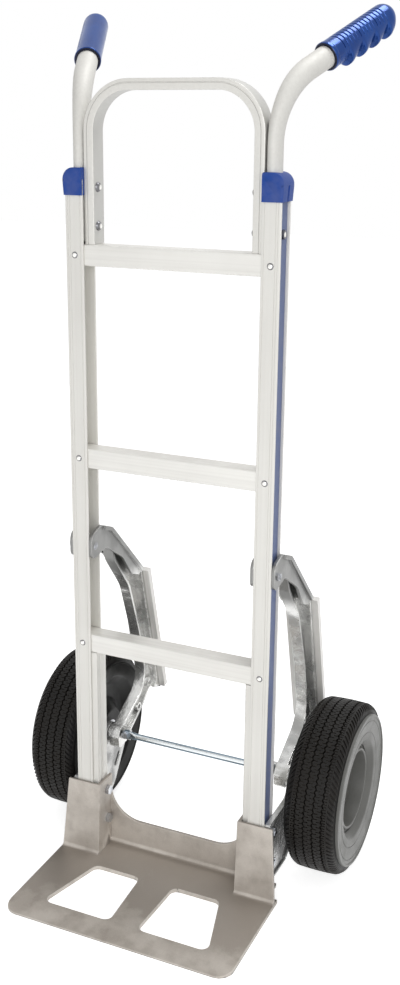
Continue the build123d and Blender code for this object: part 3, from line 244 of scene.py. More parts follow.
class Colours(PropertyGroup):
    """Colours of the finishes."""

    rail: colour("Rail", "Satin aluminium", 0.80, 0.79, 0.75)
    rung: colour("Rung", "Brighter satin aluminium of the rungs", 0.90, 0.89, 0.85)
    rail_dull: colour("Rail, dull", "Duller streaks in the satin aluminium", 0.70, 0.685, 0.65)
    # Painted shade for the top loop's faces that don't face front or back
    loop_side_shade: colour("Loop, side", "Duller flat sides of the top loop", 0.60, 0.595, 0.57)
    nose: colour("Nose", "Cast nose plate", 0.68, 0.63, 0.57)
    # Also the colour of the painted shade on the nose's deck
    nose_dark_and_deck_shade: colour("Nose, dark", "Darker patches on the cast nose plate", 0.35, 0.31, 0.27)
    nose_worn: colour("Nose, worn", "Rubbed edges of the cast nose plate", 0.70, 0.67, 0.62)
    arm: colour("Arm", "Bright cast arms", 0.74, 0.74, 0.725)
    arm_dark: colour("Arm, dark", "Darker patches on the cast arms", 0.34, 0.34, 0.335)
    arm_dull: colour("Arm, dull", "Dull skin of the arms' upper lugs", 0.26, 0.26, 0.255)
    bracket: colour("Bracket", "Bright mottled brackets", 0.62, 0.62, 0.61)
    bracket_dark: colour("Bracket, dark", "Darker patches on the brackets", 0.16, 0.16, 0.16)
    wear: colour("Wear strip", "Plain bar on the arms' backs", 0.74, 0.73, 0.71)
    grip: colour("Grip", "Glossy blue grips", 0.006, 0.056, 0.27)
    grip_deep: colour("Grip, deep", "Deeper blue in the grips", 0.005, 0.040, 0.21)
    # Painted shade round the grips' mouths
    grip_mouth_shade: colour("Grip, mouth", "Dark blue round the grips' mouths", 0.008, 0.009, 0.025)
    cap: colour("Cap", "Satin blue rail caps", 0.030, 0.083, 0.36)
    strip: colour("Strip", "Blue strips in the rails", 0.15, 0.195, 0.37)
    zinc: colour("Zinc", "Zinc-plated steel", 0.64, 0.66, 0.69)
    zinc_dull: colour("Zinc, dull", "Duller patches of the plating", 0.42, 0.43, 0.46)
    # Dark plating of the loop nuts, and the painted shade on the steep rims of domed heads
    zinc_dark_and_shade: colour("Zinc, dark", "Dark plating in the shade", 0.17, 0.17, 0.18)
    # Bluish plating with painted shade along the cross brace's edges
    zinc_blue_and_edge_shade: colour(
        "Zinc, blue", "Bluish plating along the cross brace's edges", 0.19, 0.26, 0.32
    )
    # Painted highlight along the cross brace's middle
    zinc_painted_highlight: colour(
        "Zinc, bright", "Bright plating along the cross brace's middle", 0.86, 0.90, 0.92
    )
    bearing: colour("Bearing", "Ground bearing steel", 0.55, 0.55, 0.56)
    rubber: colour("Rubber", "Tyre rubber", 0.0065, 0.006, 0.0055)
    rubber_dust: colour("Rubber, dusty", "Dusty tyre rubber", 0.015, 0.0135, 0.012)
    rubber_scuff: colour("Rubber, scuffed", "Scuffed edges of the tread", 0.055, 0.047, 0.04)
    rim: colour("Rim", "Grey moulded rims", 0.152, 0.152, 0.143)
    rim_dark: colour("Rim, dark", "Darker shade of the rims", 0.135, 0.135, 0.126)
    # Painted shade: a darker copy of the rim colour for the inner rims, which sit in shade
    rim_inside: colour("Rim, inside", "Dark inner rims", 0.022, 0.022, 0.021)
    rim_inside_shaded_dark: colour(
        "Rim, inside dark", "Darker shade of the inner rims", 0.014, 0.014, 0.0135
    )
    # Dark colour of grime and of the painted shade laid into corners, seams and recesses
    grime_and_shade: colour("Grime", "Dirt that gathers in corners", 0.03, 0.03, 0.032)
    dust: colour("Dust", "Dust that settles on top", 0.52, 0.49, 0.45)
    floor: colour("Floor", "Studio floor", 0.86, 0.86, 0.86)


class StageSizes(PropertyGroup):
    """Studio and camera."""

    floor_reach: length("Floor", "Half width of the floor", 9000.0)
    eye: FloatVectorProperty(
        name="Camera", description="Place of the camera",
        default=(0.67098, -1.45529, 1.08904), unit="LENGTH",
    )
    yaw: angle("Yaw", "Turn of the camera to the left of straight ahead", 25.29)
    pitch: angle("Pitch", "Tilt of the camera above level", -17.17)
    roll: angle("Roll", "Roll of the camera", 0.15)
    lens: number(
        "Lens",
        "Focal length in millimetres on a sensor of 36 mm along the picture's height", 44.515
    )
    shift_x: number("Shift across", "Lens shift across, in shares of the picture's height", 0.0296)
    shift_y: number("Shift up", "Lens shift up, in shares of the picture's height", -0.0088)
    fill: number("Fill", "Strength of the world's light on matte surfaces", 0.4)
    key: number("Key", "Power of the large lamp at the front right, in watts", 58.0)
    side: number("Side", "Power of the lamp at the right, in watts", 4.0)
    top: number("Top", "Power of the lamp above, in watts", 32.0)


class HandTruckSettings(PropertyGroup):
    """Everything a user would change."""

    rails: PointerProperty(type=RailSizes)
    caps: PointerProperty(type=CapSizes)
    loop: PointerProperty(type=LoopSizes)
    handles: PointerProperty(type=HandleSizes)
    tread: PointerProperty(type=TreadSizes)
    rims: PointerProperty(type=RimSizes)
    edges: PointerProperty(type=EdgeSizes)
    colours: PointerProperty(type=Colours)
    stage: PointerProperty(type=StageSizes)


def settings():
    """The settings kept in the scene."""
    return bpy.context.scene.hand_truck


# Node helpers

# Places of a Mix node's factor and two colours among its inputs, and of the mixed colour
MIX_INPUTS = (0, 6, 7)
MIX_OUTPUT = 2


def add_node(tree, kind, **values):
    """A node with its settings."""
    node = tree.nodes.new(kind)
    for key, value in values.items():
        setattr(node, key, value)
    return node


def feed(tree, source, socket):
    """Links a socket, or sets its value."""
    if isinstance(source, bpy.types.NodeSocket):
        tree.links.new(source, socket)
    else:
        socket.default_value = source


def arithmetic(tree, operation, first, second=None):
    """The result of a Math node with one or two values."""
    node = add_node(tree, "ShaderNodeMath", operation=operation)
    feed(tree, first, node.inputs[0])
    if second is not None:
        feed(tree, second, node.inputs[1])
    return node.outputs[0]


def times(tree, first, second):
    """One value times another."""
    return arithmetic(tree, "MULTIPLY", first, second)


def plus(tree, first, second):
    """One value plus another."""
    return arithmetic(tree, "ADD", first, second)


def spread(tree, value, low, high, start=0.0, end=1.0):
    """A value stretched smoothly from start..end to low..high."""
    node = add_node(tree, "ShaderNodeMapRange", interpolation_type="SMOOTHSTEP")
    limits = {"From Min": start, "From Max": end, "To Min": low, "To Max": high}
    for label, source in {"Value": value, **limits}.items():
        feed(tree, source, node.inputs[label])
    return node.outputs["Result"]


def two_colours(tree, share, first, second):
    """One colour that turns into another where the share rises to 1."""
    node = add_node(tree, "ShaderNodeMix", data_type="RGBA")
    for place, source in zip(MIX_INPUTS, (share, first, second)):
        feed(tree, source, node.inputs[place])
    return node.outputs[MIX_OUTPUT]


def own_place(tree):
    """A point's place in the piece's own coordinates."""
    return add_node(tree, "ShaderNodeTexCoord").outputs["Object"]


def facing(tree):
    """The way that the surface faces."""
    return add_node(tree, "ShaderNodeNewGeometry").outputs["Normal"]


def part_of(tree, vector, axis):
    """A vector's part along X, Y or Z."""
    split = add_node(tree, "ShaderNodeSeparateXYZ")
    feed(tree, vector, split.inputs[0])
    return split.outputs[axis]


def faced(tree, axis):
    """How squarely the surface faces along an axis, either way, from 0 to 1."""
    part = part_of(tree, facing(tree), axis)
    return times(tree, part, part)


# Shared effects

def group_shell(name, inputs):
    """An empty node group with its inputs and one mask as output."""
    tree = bpy.data.node_groups.new(name, "ShaderNodeTree")
    for label, default in inputs.items():
        kind = "NodeSocketFloat" if isinstance(default, float) else "NodeSocketVector"
        socket = tree.interface.new_socket(label, in_out="INPUT", socket_type=kind)
        socket.default_value = default
    tree.interface.new_socket("Mask", in_out="OUTPUT", socket_type="NodeSocketFloat")
    return tree, tree.nodes.new("NodeGroupInput"), tree.nodes.new("NodeGroupOutput")


def put_out(tree, given, value, result):
    """Puts out a value as the group's mask, stretched from the group's Low to its High."""
    stretched = spread(tree, value, 0.0, 1.0, given.outputs["Low"], given.outputs["High"])
    feed(tree, stretched, result.inputs["Mask"])


def build_mottle_group():
    """Soft patches or drawn streaks in the piece's own coordinates."""
    tree, given, result = group_shell(
        "Mottle", {"Scale": 10.0, "Detail": 4.0, "Stretch": (1, 1, 1), "Low": 0.35, "High": 0.65}
    )
    stretched = add_node(tree, "ShaderNodeVectorMath", operation="MULTIPLY")
    noise = add_node(tree, "ShaderNodeTexNoise")
    feed(tree, own_place(tree), stretched.inputs[0])
    feed(tree, given.outputs["Stretch"], stretched.inputs[1])
    feed(tree, stretched.outputs[0], noise.inputs["Vector"])
    feed(tree, given.outputs["Scale"], noise.inputs["Scale"])
    feed(tree, given.outputs["Detail"], noise.inputs["Detail"])
    put_out(tree, given, noise.outputs[0], result)


def build_edge_group():
    """Edges that stand out and get rubbed."""
    tree, given, result = group_shell("Edge wear", {"Radius": 0.002, "Low": 0.02, "High": 0.2})
    rounded = add_node(tree, "ShaderNodeBevel", samples=6)
    match = add_node(tree, "ShaderNodeVectorMath", operation="DOT_PRODUCT")
    feed(tree, given.outputs["Radius"], rounded.inputs["Radius"])
    feed(tree, rounded.outputs["Normal"], match.inputs[0])
    feed(tree, facing(tree), match.inputs[1])
    put_out(tree, given, arithmetic(tree, "SUBTRACT", 1.0, match.outputs["Value"]), result)


def build_dust_group():
    """Dust on the surfaces that face up."""
    tree, given, result = group_shell("Dust", {"Scale": 25.0, "Amount": 0.2})
    noise = add_node(tree, "ShaderNodeTexNoise")
    feed(tree, own_place(tree), noise.inputs["Vector"])
    feed(tree, given.outputs["Scale"], noise.inputs["Scale"])
    level = spread(tree, part_of(tree, facing(tree), "Z"), 0.0, 1.0, 0.75, 0.98)
    patchy = times(tree, level, noise.outputs[0])
    feed(tree, times(tree, patchy, given.outputs["Amount"]), result.inputs["Mask"])


def build_grime_and_shade_group():
    """Painted shade and grime in corners, seams and recesses, where little light gets in and dirt
    gathers, from ambient occlusion.
    """
    tree, given, result = group_shell("Grime", {"Reach": 0.004, "Low": 0.3, "High": 0.85})
    open_sky = add_node(tree, "ShaderNodeAmbientOcclusion", samples=8)
    feed(tree, given.outputs["Reach"], open_sky.inputs["Distance"])
    put_out(tree, given, arithmetic(tree, "SUBTRACT", 1.0, open_sky.outputs["AO"]), result)


GROUP_BUILDERS = {
    "Mottle": build_mottle_group, "Edge wear": build_edge_group, "Dust": build_dust_group,
    "Grime": build_grime_and_shade_group,
}


def mask(tree, effect, **values):
    """The mask of a shared effect, placed with its own values."""
    if effect not in bpy.data.node_groups:
        GROUP_BUILDERS[effect]()
    node = add_node(tree, "ShaderNodeGroup", node_tree=bpy.data.node_groups[effect])
    for label, value in values.items():
        node.inputs[label].default_value = value
    return node.outputs["Mask"]


def grimed_and_shaded(tree, ground, amount, reach=0.004):
    """A colour darkened by painted shade and grime in corners, seams and recesses."""
    # Ambient occlusion darkens the colour: painted shade in corners, seams and recesses, together
    # with grime
    corners = times(tree, mask(tree, "Grime", Reach=reach), amount)
    return two_colours(tree, corners, ground, settings().colours.grime_and_shade)


# Finishes

ALONG_Z = (1, 1, 0.012)
ALONG_X = (0.012, 1, 1)
ALONG_STRIP = (1, 0.03, 0.012)
ALL_WAYS = (1, 1, 1)

# Places along Y between which the painted shade on the nose's deck sets in, darker towards the back
DECK_SHADE_PLACES = (-0.2, -0.11)

# Heights between which the arms go over to their dull upper lugs
LUG_LEVELS = (0.40, 0.43)

# Depths into a grip between which the painted shade round its mouth fades
MOUTH_SHADE_DEPTHS = (0.0004, 0.0009)

# Upward part of the way that the cross brace's painted highlight faces; away from it the bar takes
# painted shade
PAINTED_HIGHLIGHT_FACING = 0.45


def new_finish(name, **constants):
    """A material with its shader's constant values."""
    material = bpy.data.materials.new(name)
    material.use_nodes = True
    shader = material.node_tree.nodes["Principled BSDF"]
    for label, value in constants.items():
        shader.inputs[label.replace("_", " ")].default_value = value
    return material, material.node_tree, shader


def dress(tree, shader, skin_colour, roughness, relief, strength, distance):
    """Feeds a shader with its colour, its roughness and relief of a strength and a distance."""
    bump = add_node(tree, "ShaderNodeBump")
    bump.inputs["Strength"].default_value = strength
    bump.inputs["Distance"].default_value = distance
    feed(tree, relief, bump.inputs["Height"])
    feed(tree, skin_colour, shader.inputs["Base Color"])
    feed(tree, roughness, shader.inputs["Roughness"])
    feed(tree, bump.outputs["Normal"], shader.inputs["Normal"])


def satin_aluminium(name, stretch, plain, sheen=0.35, smoothest=0.34, side_shade=0.0):
    """Drawn aluminium with fine streaks, and with painted shade on the faces that don't face front
    or back, where it is asked for.
    """
    colours = settings().colours
    material, tree, shader = new_finish(name, Metallic=sheen)
    streaks = mask(tree, "Mottle", Scale=260.0, Detail=2.0, Stretch=stretch, Low=0.3, High=0.75)
    patches = mask(tree, "Mottle", Scale=7.0, Detail=3.0, Low=0.3, High=0.75)
    dull = plus(tree, times(tree, streaks, 0.3), times(tree, patches, 0.4))
    dusty = mask(tree, "Dust", Scale=40.0, Amount=0.5)
    streaked = two_colours(tree, dull, plain, colours.rail_dull)
    dusted = two_colours(tree, dusty, streaked, colours.dust)
    # Painted shade: faces that don't face front or back are darkened by the share that is asked for
    side_shade_share = spread(tree, faced(tree, "Y"), side_shade, 0.0, 0.1, 0.6)
    side_shaded = two_colours(tree, side_shade_share, dusted, colours.loop_side_shade)
    roughness = spread(tree, dull, smoothest, smoothest + 0.16)
    dress(tree, shader, grimed_and_shaded(tree, side_shaded, 0.3), roughness, streaks, 0.05, 0.0003)
    return material


def cast_nose(name):
    """Warm grey casting with patches, fine grain, painted shade on its upward faces that grows
    towards the back, and rubbed edges.
    """
    colours = settings().colours
    material, tree, shader = new_finish(name, Metallic=0.25)
    patches = mask(tree, "Mottle", Scale=16.0, Detail=6.0, Low=0.36, High=0.66)
    smears = mask(tree, "Mottle", Scale=48.0, Detail=6.0, Low=0.42, High=0.74)
    grain = mask(tree, "Mottle", Scale=900.0, Detail=2.0, Low=0.25, High=0.75)
    worn = mask(tree, "Edge wear", Radius=0.0022, Low=0.01, High=0.16)
    dark = plus(tree, times(tree, patches, 0.42), times(tree, smears, 0.28))
    speckled = plus(tree, dark, times(tree, grain, 0.16))
    behind = spread(tree, part_of(tree, own_place(tree), "Y"), 0.35, 1.0, *DECK_SHADE_PLACES)
    level = spread(tree, part_of(tree, facing(tree), "Z"), 0.0, 0.9, 0.7, 0.97)
    # Painted shade on the deck's upward faces, growing towards the back, is added to the patches
    # here and below
    patches_and_deck_shade = plus(tree, speckled, times(tree, level, behind))
    scuffed = arithmetic(tree, "MINIMUM", patches_and_deck_shade, 1.0)
    ground = two_colours(tree, scuffed, colours.nose, colours.nose_dark_and_deck_shade)
    rubbed = two_colours(tree, times(tree, worn, 0.85), ground, colours.nose_worn)
    roughness = spread(tree, speckled, 0.36, 0.56)
    dress(tree, shader, grimed_and_shaded(tree, rubbed, 0.5), roughness, grain, 0.18, 0.0005)
    return material


def cast_alloy(name, plain, patchy, sheen):
    """Bright tumbled casting that is dull on the upper lug."""
    colours = settings().colours
    material, tree, shader = new_finish(name, Metallic=sheen)
    patches = mask(tree, "Mottle", Scale=34.0, Detail=5.0, Low=0.4, High=0.68)
    ripples = mask(tree, "Mottle", Scale=85.0, Detail=3.0, Low=0.2, High=0.8)
    grain = mask(tree, "Mottle", Scale=1100.0, Detail=2.0, Low=0.3, High=0.7)
    worn = mask(tree, "Edge wear", Radius=0.0018, Low=0.01, High=0.18)
    lug = spread(tree, part_of(tree, own_place(tree), "Z"), 0.0, 1.0, *LUG_LEVELS)
    ground = two_colours(tree, times(tree, patches, 0.75), plain, patchy)
    dulled = two_colours(tree, lug, ground, colours.arm_dull)
    bright = two_colours(tree, times(tree, worn, 0.8), dulled, colours.arm)
    roughness = plus(tree, spread(tree, patches, 0.16, 0.3), times(tree, lug, 0.2))
    relief = plus(tree, ripples, times(tree, grain, 0.12))
    dress(tree, shader, grimed_and_shaded(tree, bright, 0.35, 0.006), roughness, relief, 0.25, 0.0012)
    return material


def wear_bar(name):
    """Plain bar with faint scratches along it."""
    colours = settings().colours
    material, tree, shader = new_finish(name, Metallic=0.4)
    scratches = mask(
        tree, "Mottle", Scale=500.0, Detail=3.0, Stretch=ALONG_STRIP, Low=0.4, High=0.7
    )
    scratched = two_colours(tree, scratches, colours.wear, colours.rail_dull)
    roughness = spread(tree, scratches, 0.3, 0.46)
    dress(tree, shader, grimed_and_shaded(tree, scratched, 0.5), roughness, scratches, 0.15, 0.0003)
    return material


def blue_vinyl(name):
    """Glossy moulded grip with painted shade round its mouth."""
    colours = settings().colours
    mouth, axis = grip_place(settings().handles)
    material, tree, shader = new_finish(
        name, Metallic=0.4, Specular_IOR_Level=0.5, Specular_Tint=(0.8, 0.86, 1, 1)
    )
    clouds = mask(tree, "Mottle", Scale=45.0, Detail=4.0, Low=0.3, High=0.75)
    pebbles = mask(tree, "Mottle", Scale=1500.0, Detail=2.0, Low=0.3, High=0.7)
    blue = two_colours(tree, clouds, colours.grip, colours.grip_deep)
    # Folds the left grip over to the right one's place
    folded = add_node(tree, "ShaderNodeVectorMath", operation="ABSOLUTE")
    feed(tree, own_place(tree), folded.inputs[0])
    along = add_node(tree, "ShaderNodeVectorMath", operation="DOT_PRODUCT")
    feed(tree, folded.outputs["Vector"], along.inputs[0])
    along.inputs[1].default_value = axis
    start, end = (mouth.dot(axis) + depth for depth in MOUTH_SHADE_DEPTHS)
    # Painted shade round the mouth, fading with depth into the grip
    rim = spread(tree, along.outputs["Value"], 1.0, 0.0, start, end)
    shaded = two_colours(tree, rim, blue, colours.grip_mouth_shade)
    roughness = spread(tree, clouds, 0.15, 0.24)
    dress(tree, shader, grimed_and_shaded(tree, shaded, 0.5, 0.003), roughness, pebbles, 0.06, 0.0003)
    return material


def blue_moulding(name, plain, fading):
    """Satin moulded plastic with a fine grain and a little fading."""
    material, tree, shader = new_finish(
        name, Specular_IOR_Level=0.1, Specular_Tint=(0.5, 0.6, 1, 1)
    )
    clouds = mask(tree, "Mottle", Scale=60.0, Detail=4.0, Low=0.3, High=0.75)
    pebbles = mask(tree, "Mottle", Scale=1300.0, Detail=2.0, Low=0.3, High=0.7)
    faded = two_colours(tree, times(tree, clouds, fading), plain, settings().colours.dust)
    roughness = spread(tree, clouds, 0.36, 0.5)
    dress(tree, shader, grimed_and_shaded(tree, faded, 0.5), roughness, pebbles, 0.15, 0.0004)
    return material


def zinc_plate(name, plain, dull, smoothest, roughest):
    """Plated steel with a faint crystal pattern."""
    material, tree, shader = new_finish(name, Metallic=1.0)
    patches = mask(tree, "Mottle", Scale=130.0, Detail=4.0, Low=0.35, High=0.7)
    grain = mask(tree, "Mottle", Scale=1600.0, Detail=2.0, Low=0.3, High=0.7)
    plated = two_colours(tree, patches, plain, dull)
    roughness = spread(tree, patches, smoothest, roughest)
    dress(tree, shader, grimed_and_shaded(tree, plated, 0.85, 0.005), roughness, grain, 0.06, 0.0002)
    return material


def domed_steel(name, axis):
    """Plated head with painted shade on its steep rim, with its axis along X or Y."""
    colours = settings().colours
    material, tree, shader = new_finish(name, Metallic=1.0)
    # Painted shade: the head darkens where it turns away from its axis
    painted_rim_shade = spread(tree, faced(tree, axis), 1.0, 0.0, 0.6, 0.94)
    patches = mask(tree, "Mottle", Scale=400.0, Detail=3.0, Low=0.35, High=0.7)
    plated = two_colours(tree, painted_rim_shade, colours.rung, colours.zinc_dark_and_shade)
    roughness = spread(tree, patches, 0.25, 0.4)
    dress(tree, shader, grimed_and_shaded(tree, plated, 0.8, 0.003), roughness, patches, 0.08, 0.0002)
    return material


def bar_with_painted_highlight(name):
    """Bluish plated bar with a painted highlight along its middle and painted shade along its
    edges.
    """
    colours = settings().colours
    material, tree, shader = new_finish(name, Metallic=1.0)
    upward = part_of(tree, facing(tree), "Z")
    off = arithmetic(tree, "ABSOLUTE", arithmetic(tree, "SUBTRACT", upward, PAINTED_HIGHLIGHT_FACING))
    # Painted highlight where the bar faces the band's way, painted shade on the edges away from it
    edges = spread(tree, off, 0.0, 1.0, 0.3, 0.55)
    patches = mask(tree, "Mottle", Scale=130.0, Detail=4.0, Low=0.35, High=0.7)
    plated = two_colours(tree, edges, colours.zinc_painted_highlight, colours.zinc_blue_and_edge_shade)
    roughness = spread(tree, patches, 0.2, 0.34)
    dress(tree, shader, grimed_and_shaded(tree, plated, 0.85, 0.005), roughness, patches, 0.05, 0.0002)
    return material


def tyre_rubber(name):
    """Black rubber with a little dust, scuffed edges and a fine grain."""
    colours = settings().colours
    material, tree, shader = new_finish(name, Specular_IOR_Level=0.22)
    clouds = mask(tree, "Mottle", Scale=28.0, Detail=6.0, Low=0.38, High=0.75)
    grain = mask(tree, "Mottle", Scale=1200.0, Detail=3.0, Low=0.3, High=0.7)
    worn = mask(tree, "Edge wear", Radius=0.0014, Low=0.02, High=0.3)
    rubber = two_colours(tree, clouds, colours.rubber, colours.rubber_dust)
    scuffed = two_colours(tree, times(tree, worn, 0.8), rubber, colours.rubber_scuff)
    dress(tree, shader, scuffed, spread(tree, clouds, 0.5, 0.72), grain, 0.2, 0.0004)
    return material


def rim_moulding(name, plain, shade, gloss):
    """Grey moulded rim with faint flow marks."""
    material, tree, shader = new_finish(name, Specular_IOR_Level=gloss)
    clouds = mask(tree, "Mottle", Scale=22.0, Detail=5.0, Low=0.3, High=0.75)
    grain = mask(tree, "Mottle", Scale=1400.0, Detail=2.0, Low=0.3, High=0.7)
    marked = two_colours(tree, clouds, plain, shade)
    roughness = spread(tree, clouds, 0.36, 0.5)
    # The wide reach paints shade into the rim's recess and valley
    dress(tree, shader, grimed_and_shaded(tree, marked, 0.4, 0.012), roughness, grain, 0.12, 0.0003)
    return material


def build_finish(name):
    """The finish of a material slot, or of a named variant of one."""
    tints = settings().colours
    recipes = {
        "rail_aluminium": (satin_aluminium, dict(stretch=ALONG_Z, plain=tints.rail)),
        "rung_aluminium": (satin_aluminium, dict(stretch=ALONG_X, plain=tints.rung)),
        "tube_aluminium": (
            satin_aluminium,
            dict(stretch=ALL_WAYS, plain=tints.rail, sheen=0.12, smoothest=0.58),
        ),
        # The top loop gets painted shade on its faces that don't face front or back
        "loop_aluminium": (
            satin_aluminium,
            dict(stretch=ALL_WAYS, plain=tints.rail, side_shade=1.0),
        ),
        "cast_nose": (cast_nose, {}),
        "cast_arm": (cast_alloy, dict(plain=tints.arm, patchy=tints.arm_dark, sheen=0.8)),
        "bracket_alloy": (
            cast_alloy,
            dict(plain=tints.bracket, patchy=tints.bracket_dark, sheen=0.6),
        ),
        "wear_aluminium": (wear_bar, {}),
        "blue_grip": (blue_vinyl, {}),
        "blue_cap": (blue_moulding, dict(plain=tints.cap, fading=0.1)),
        "blue_strip": (blue_moulding, dict(plain=tints.strip, fading=0.15)),
        "zinc_steel": (
            zinc_plate,
            dict(plain=tints.zinc, dull=tints.zinc_dull, smoothest=0.18, roughest=0.34),
        ),
        "dark_steel": (
            zinc_plate,
            dict(plain=tints.zinc_dark_and_shade, dull=tints.arm_dull, smoothest=0.35, roughest=0.5),
        ),
        "dull_steel": (
            zinc_plate,
            dict(plain=tints.zinc_dull, dull=tints.arm_dull, smoothest=0.3, roughest=0.45),
        ),
        "bearing_steel": (
            zinc_plate,
            dict(plain=tints.bearing, dull=tints.zinc_dull, smoothest=0.22, roughest=0.3),
        ),
        "rivet_steel": (domed_steel, dict(axis="Y")),
        "bolt_steel": (domed_steel, dict(axis="X")),
        "blue_zinc": (bar_with_painted_highlight, {}),
        "tyre_rubber": (tyre_rubber, {}),
        "rim_plastic": (rim_moulding, dict(plain=tints.rim, shade=tints.rim_dark, gloss=0.35)),
        # The inner rims get a darker copy of the rim's finish as painted shade
        "rim_inside": (
            rim_moulding,
            dict(plain=tints.rim_inside, shade=tints.rim_inside_shaded_dark, gloss=0.12),
        ),
    }
    make, values = recipes[name]
    return make("finish_" + name, **values)


def finish(name):
    """A finish, built when it is first asked for."""
    return bpy.data.materials.get("finish_" + name) or build_finish(name)


# Mesh helpers

# Distance under which a CAD mesh's points are joined, and turn from which its edges are sharp
JOIN_DISTANCE = 0.000002
SHARP_TURN = radians(30)

# A level below every piece
NO_LEVEL = -1.0


def rounded_outline(corners, steps=4):
    """A closed outline of (across, along, radius) corners, each turned on an arc."""
    outline = []
    for index, (across, up, radius) in enumerate(corners):
        here = Vector((across, up))
        if radius == 0:
            outline.append((across, up))
            continue
        before = (Vector(corners[index - 1][:2]) - here).normalized()
        after = (Vector(corners[(index + 1) % len(corners)][:2]) - here).normalized()
        half = before.angle(after) / 2
        middle = here + (before + after).normalized() * (radius / sin(half))
        first = here + before * (radius / tan(half)) - middle
        last = here + after * (radius / tan(half)) - middle
        start = atan2(first.y, first.x)
        turn = (atan2(last.y, last.x) - start + pi) % (2 * pi) - pi
        for step in range(steps + 1):
            at = start + turn * step / steps
            outline.append((middle.x + radius * cos(at), middle.y + radius * sin(at)))
    return outline


def full_turn(steps):
    """The angles of equal steps around a full turn."""
    return [2 * pi * step / steps for step in range(steps)]


def skin(rings, loop=False, capped=False):
    """Points and faces over a row of closed rings."""
    size = len(rings[0])
    points = [point for ring in rings for point in ring]
    faces = []
    for index in range(len(rings) if loop else len(rings) - 1):
        near = index * size
        far = (index + 1) % len(rings) * size
        for place in range(size):
            beside = (place + 1) % size
            faces.append((near + place, near + beside, far + beside, far + place))
    if capped:
        faces.append(tuple(range(size)))
        faces.append(tuple(range(len(points) - size, len(points))))
    return points, faces


def prism(outline, low, high):
    """Points and faces of an upright bar of one section."""
    return skin([[(x, y, level) for x, y in outline] for level in (low, high)], capped=True)


def mesh_of(name, points, faces, hand=1.0):
    """A closed mesh with its faces outwards, mirrored for the left hand."""
    mesh = bpy.data.meshes.new(name)
    mesh.from_pydata([(hand * x, y, z) for x, y, z in points], [], faces)
    work = bmesh.new()
    work.from_mesh(mesh)
    bmesh.ops.recalc_face_normals(work, faces=work.faces)
    work.to_mesh(mesh)
    work.free()
    return mesh


def softened(node, width, level):
    """A mesh like a CAD node, with its sharp outer edges above a level rounded."""
    work = bmesh.new()
    work.from_mesh(frame["nodes"][node].data)
    bmesh.ops.remove_doubles(work, verts=work.verts, dist=JOIN_DISTANCE)
    sharp = [
        edge for edge in work.edges
        if edge.is_manifold and edge.is_convex and edge.calc_face_angle(0) > SHARP_TURN
        and min(end.co.z for end in edge.verts) > level
    ]
    bmesh.ops.bevel(
        work, geom=sharp, offset=width, segments=2, profile=0.5, affect="EDGES",
        clamp_overlap=False,
    )
    mesh = bpy.data.meshes.new(node)
    work.to_mesh(mesh)
    work.free()
    return mesh


def add_piece(node, ending, mesh, body="frame", look=None, sharp=32):
    """Puts a mesh on a body in place of its CAD node, with the node's finish or another look."""
    mesh.polygons.foreach_set("use_smooth", [True] * len(mesh.polygons))
    mesh.set_sharp_from_angle(angle=radians(sharp))
    mesh.materials.clear()
    mesh.materials.append(finish(look or NODE_SLOTS[node]))
    piece = bpy.data.objects.new(f"{node}_{ending}", mesh)
    bpy.context.scene.collection.objects.link(piece)
    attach(piece, body)
    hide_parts(node)
    return piece


def add_pair(node, ending, shape, on_wheel=False, look=None, sharp=32):
    """Puts a shape on the right and its mirror image on the left, on the frame or the wheels."""
    for side, hand in HANDS.items():
        name = f"{node}_{side}"
        body = "wheel_" + side if on_wheel else "frame"
        add_piece(name, ending, mesh_of(name, *shape, hand), body, look, sharp)


def add_softened(node, width, look=None, level=NO_LEVEL):
    """Puts a softened copy on the frame in place of its CAD node."""
    piece = add_piece(node, "soft", softened(node, width, level), look=look)
    weights = piece.modifiers.new("Flat faces", "WEIGHTED_NORMAL")
    weights.keep_sharp = True


# Pieces

# Width of a cap's slot at its floor, as a share of its mouth
SLOT_FLOOR = 0.8

# Place of the liner's groove, as a share of the liner's depth, and the share of its floor
LINER_GROOVE_PLACE = 0.36
LINER_GROOVE_FLOOR = 0.5

# Shares of a grip groove's width at which its floor ends and its mouth ends
GROOVE_FLOOR_END = 0.2
GROOVE_MOUTH_END = 0.5

# Length of the rounding at the grip's collar, and rolls over which the ribs and lines fade out
COLLAR_SOFT = 0.0014
RIB_FADE = radians(9)
LINE_FADE = radians(6)

# Share of a finger ridge's reach at full height, and share of its lead that rises
FINGER_FULL = 0.2
FINGER_RISE = 0.6

UP = Vector((0, 0, 1))


def notch(middle, level, width, depth):
    """Corners of a groove cut into a straight side of a section."""
    return [
        (middle - width / 2, level, 0), (middle - width / 4, level + depth, 0),
        (middle + width / 4, level + depth, 0), (middle + width / 2, level, 0),
    ]


